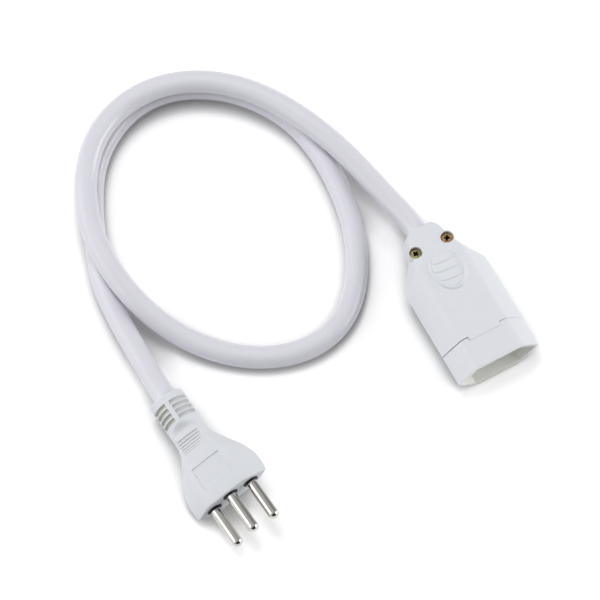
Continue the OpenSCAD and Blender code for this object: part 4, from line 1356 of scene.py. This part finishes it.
class CORD_OT_connector_base(bpy.types.Operator):
    """Make the connector's lower half with its shroud and web"""

    bl_idname = "cord.connector_base"
    bl_label = "Connector base"

    def execute(self, context):
        scene = context.scene
        s = in_mm(scene.cord_connector)
        base = make_connector_base(s, in_mm(scene.cord_screws), in_mm(scene.cord_plug))
        base.name = "connector_base"
        moulding = plastic("Connector Plastic", "housing", 0.4, mouth=s)
        dress(base, BODY, "housing", moulding, "socket_base")
        return {"FINISHED"}


class CORD_OT_connector_cover(bpy.types.Operator):
    """Make the connector's cover with its tongue, counterbores and thumb pad"""

    bl_idname = "cord.connector_cover"
    bl_label = "Connector cover"

    def execute(self, context):
        scene = context.scene
        groups = (scene.cord_connector, scene.cord_pad, scene.cord_screws)
        cover = make_connector_cover(*(in_mm(group) for group in groups))
        cover.name = "connector_cover"
        dress(cover, BODY, "housing", plastic("Cover Plastic", "housing", 0.4), "socket_cover")
        return {"FINISHED"}


class CORD_OT_cover_screws(bpy.types.Operator):
    """Make the two cover screws"""

    bl_idname = "cord.cover_screws"
    bl_label = "Cover screws"

    def execute(self, context):
        scene = context.scene
        s, screws = in_mm(scene.cord_connector), in_mm(scene.cord_screws)
        # side, turn of the cross in radians, colour
        rows = (("left", 0.5, "zinc"), ("right", 1.1, "bronze"))
        for place, (side, turn, key) in zip(screw_places(s, screws), rows):
            node = side + "_cover_screw"
            screw = make_cover_screw(side + "_pan_head_screw", screws, s, place, turn)
            dress(screw, node + "_body", "zinc", zinc_material("Screw " + key.title(), key), node)
        return {"FINISHED"}


class CORD_OT_plug(bpy.types.Operator):
    """Make the plug's moulding and its three pins"""

    bl_idname = "cord.plug"
    bl_label = "Plug"

    def execute(self, context):
        p = in_mm(context.scene.cord_plug)
        body = make_plug_body(p)
        moulding = plastic("Plug Plastic", "plug", 0.42, hollow=True)
        dress(body, BODY, "plug_housing", moulding, "plug_body")
        nickel, aside = plated_material(), p.pole_pitch / 2
        for pole, y, z in (("line", -aside, 0), ("neutral", aside, 0), ("earth", 0, p.earth_rise)):
            pin = make_pin(f"plated_{pole}_pin", p, y, z)
            dress(pin, BODY, "nickel", nickel, f"{pole}_pin")
        return {"FINISHED"}


class CORD_OT_inner_parts(bpy.types.Operator):
    """Finish the contacts, screws, cores and collars that keep the frame's own shapes"""

    bl_idname = "cord.inner_parts"
    bl_label = "Inner parts"

    def execute(self, context):
        zinc = metal("Terminal Zinc", "zinc", 0.3, 0.12)
        brass = metal("Brass", "brass", 0.28, 0.15)
        copper = copper_material()
        sheath = plastic("Sheath End", "sheath", 0.36, grain=0.5)
        finishes = {"pin_carrier": plastic("Black Collars", "carrier", 0.3, gloss=0.12)}
        for side in ("socket", "plug"):
            finishes[f"{side}_sheath_end"] = sheath
        for pole in ("line", "neutral", "earth"):
            core = core_material(pole.title() + " Core", pole, stripe=pole == "earth")
            finishes[f"{pole}_contact"] = brass
            finishes[f"{pole}_terminal_screw"] = zinc
            for side in ("socket", "plug"):
                finishes[f"{side}_{pole}_core"] = core
                finishes[f"{side}_{pole}_conductor"] = copper
        for node, material in finishes.items():
            NODES[node].data.materials.clear()
            NODES[node].data.materials.append(material)
        return {"FINISHED"}


class CORD_OT_cord(bpy.types.Operator):
    bl_idname = "cord.cord"
    bl_label = "Cord"

    def execute(self, context):
        c = in_mm(context.scene.cord_cord)
        cord, line = make_cord(c, context.scene.cord_plug.yaw)
        dress(cord, BODY, "sheath", sheath_material(), "cord")
        poles = ("line", "neutral", "earth")
        with_pieces = ["plug_moulding", *(f"plated_{pole}_pin" for pole in poles)]
        with_pieces += ["pin_carrier", "plug_sheath_end"]
        with_pieces += [f"plug_{pole}_{part}" for pole in poles for part in ("core", "conductor")]
        return {"FINISHED"}


class CORD_PT_panel(bpy.types.Panel):
    """Sizes, colours and steps of the extension cord"""

    bl_idname = "CORD_PT_panel"
    bl_label = "Extension cord"
    bl_space_type = "VIEW_3D"
    bl_region_type = "UI"
    bl_category = "Cord"

    def draw(self, context):
        for step in STEPS:
            self.layout.operator(step.bl_idname)
        for key, group in GROUPS.items():
            box = self.layout.box()
            box.label(text=group.__name__)
            values = getattr(context.scene, key)
            for name in values.bl_rna.properties.keys():
                if name not in ("rna_type", "name"):
                    box.prop(values, name)


STEPS = (
    CORD_OT_stage,
    CORD_OT_connector_base,
    CORD_OT_connector_cover,
    CORD_OT_cover_screws,
    CORD_OT_plug,
    CORD_OT_inner_parts,
    CORD_OT_cord,
)
CLASSES = (*GROUPS.values(), *STEPS, CORD_PT_panel)


def register():
    """Registers the classes and gives the scene their values."""
    for cls in CLASSES:
        bpy.utils.register_class(cls)
    for key, group in GROUPS.items():
        setattr(bpy.types.Scene, key, PointerProperty(type=group))


def unregister():
    """Takes the values and the classes back out."""
    for key in GROUPS:
        delattr(bpy.types.Scene, key)
    for cls in reversed(CLASSES):
        bpy.utils.unregister_class(cls)


def main():
    """Makes everything in order."""
    register()
    bpy.ops.cord.stage()
    bpy.ops.cord.connector_base()
    bpy.ops.cord.connector_cover()
    bpy.ops.cord.cover_screws()
    bpy.ops.cord.plug()
    bpy.ops.cord.inner_parts()
    bpy.ops.cord.cord()


if __name__ == "__main__":
    main()
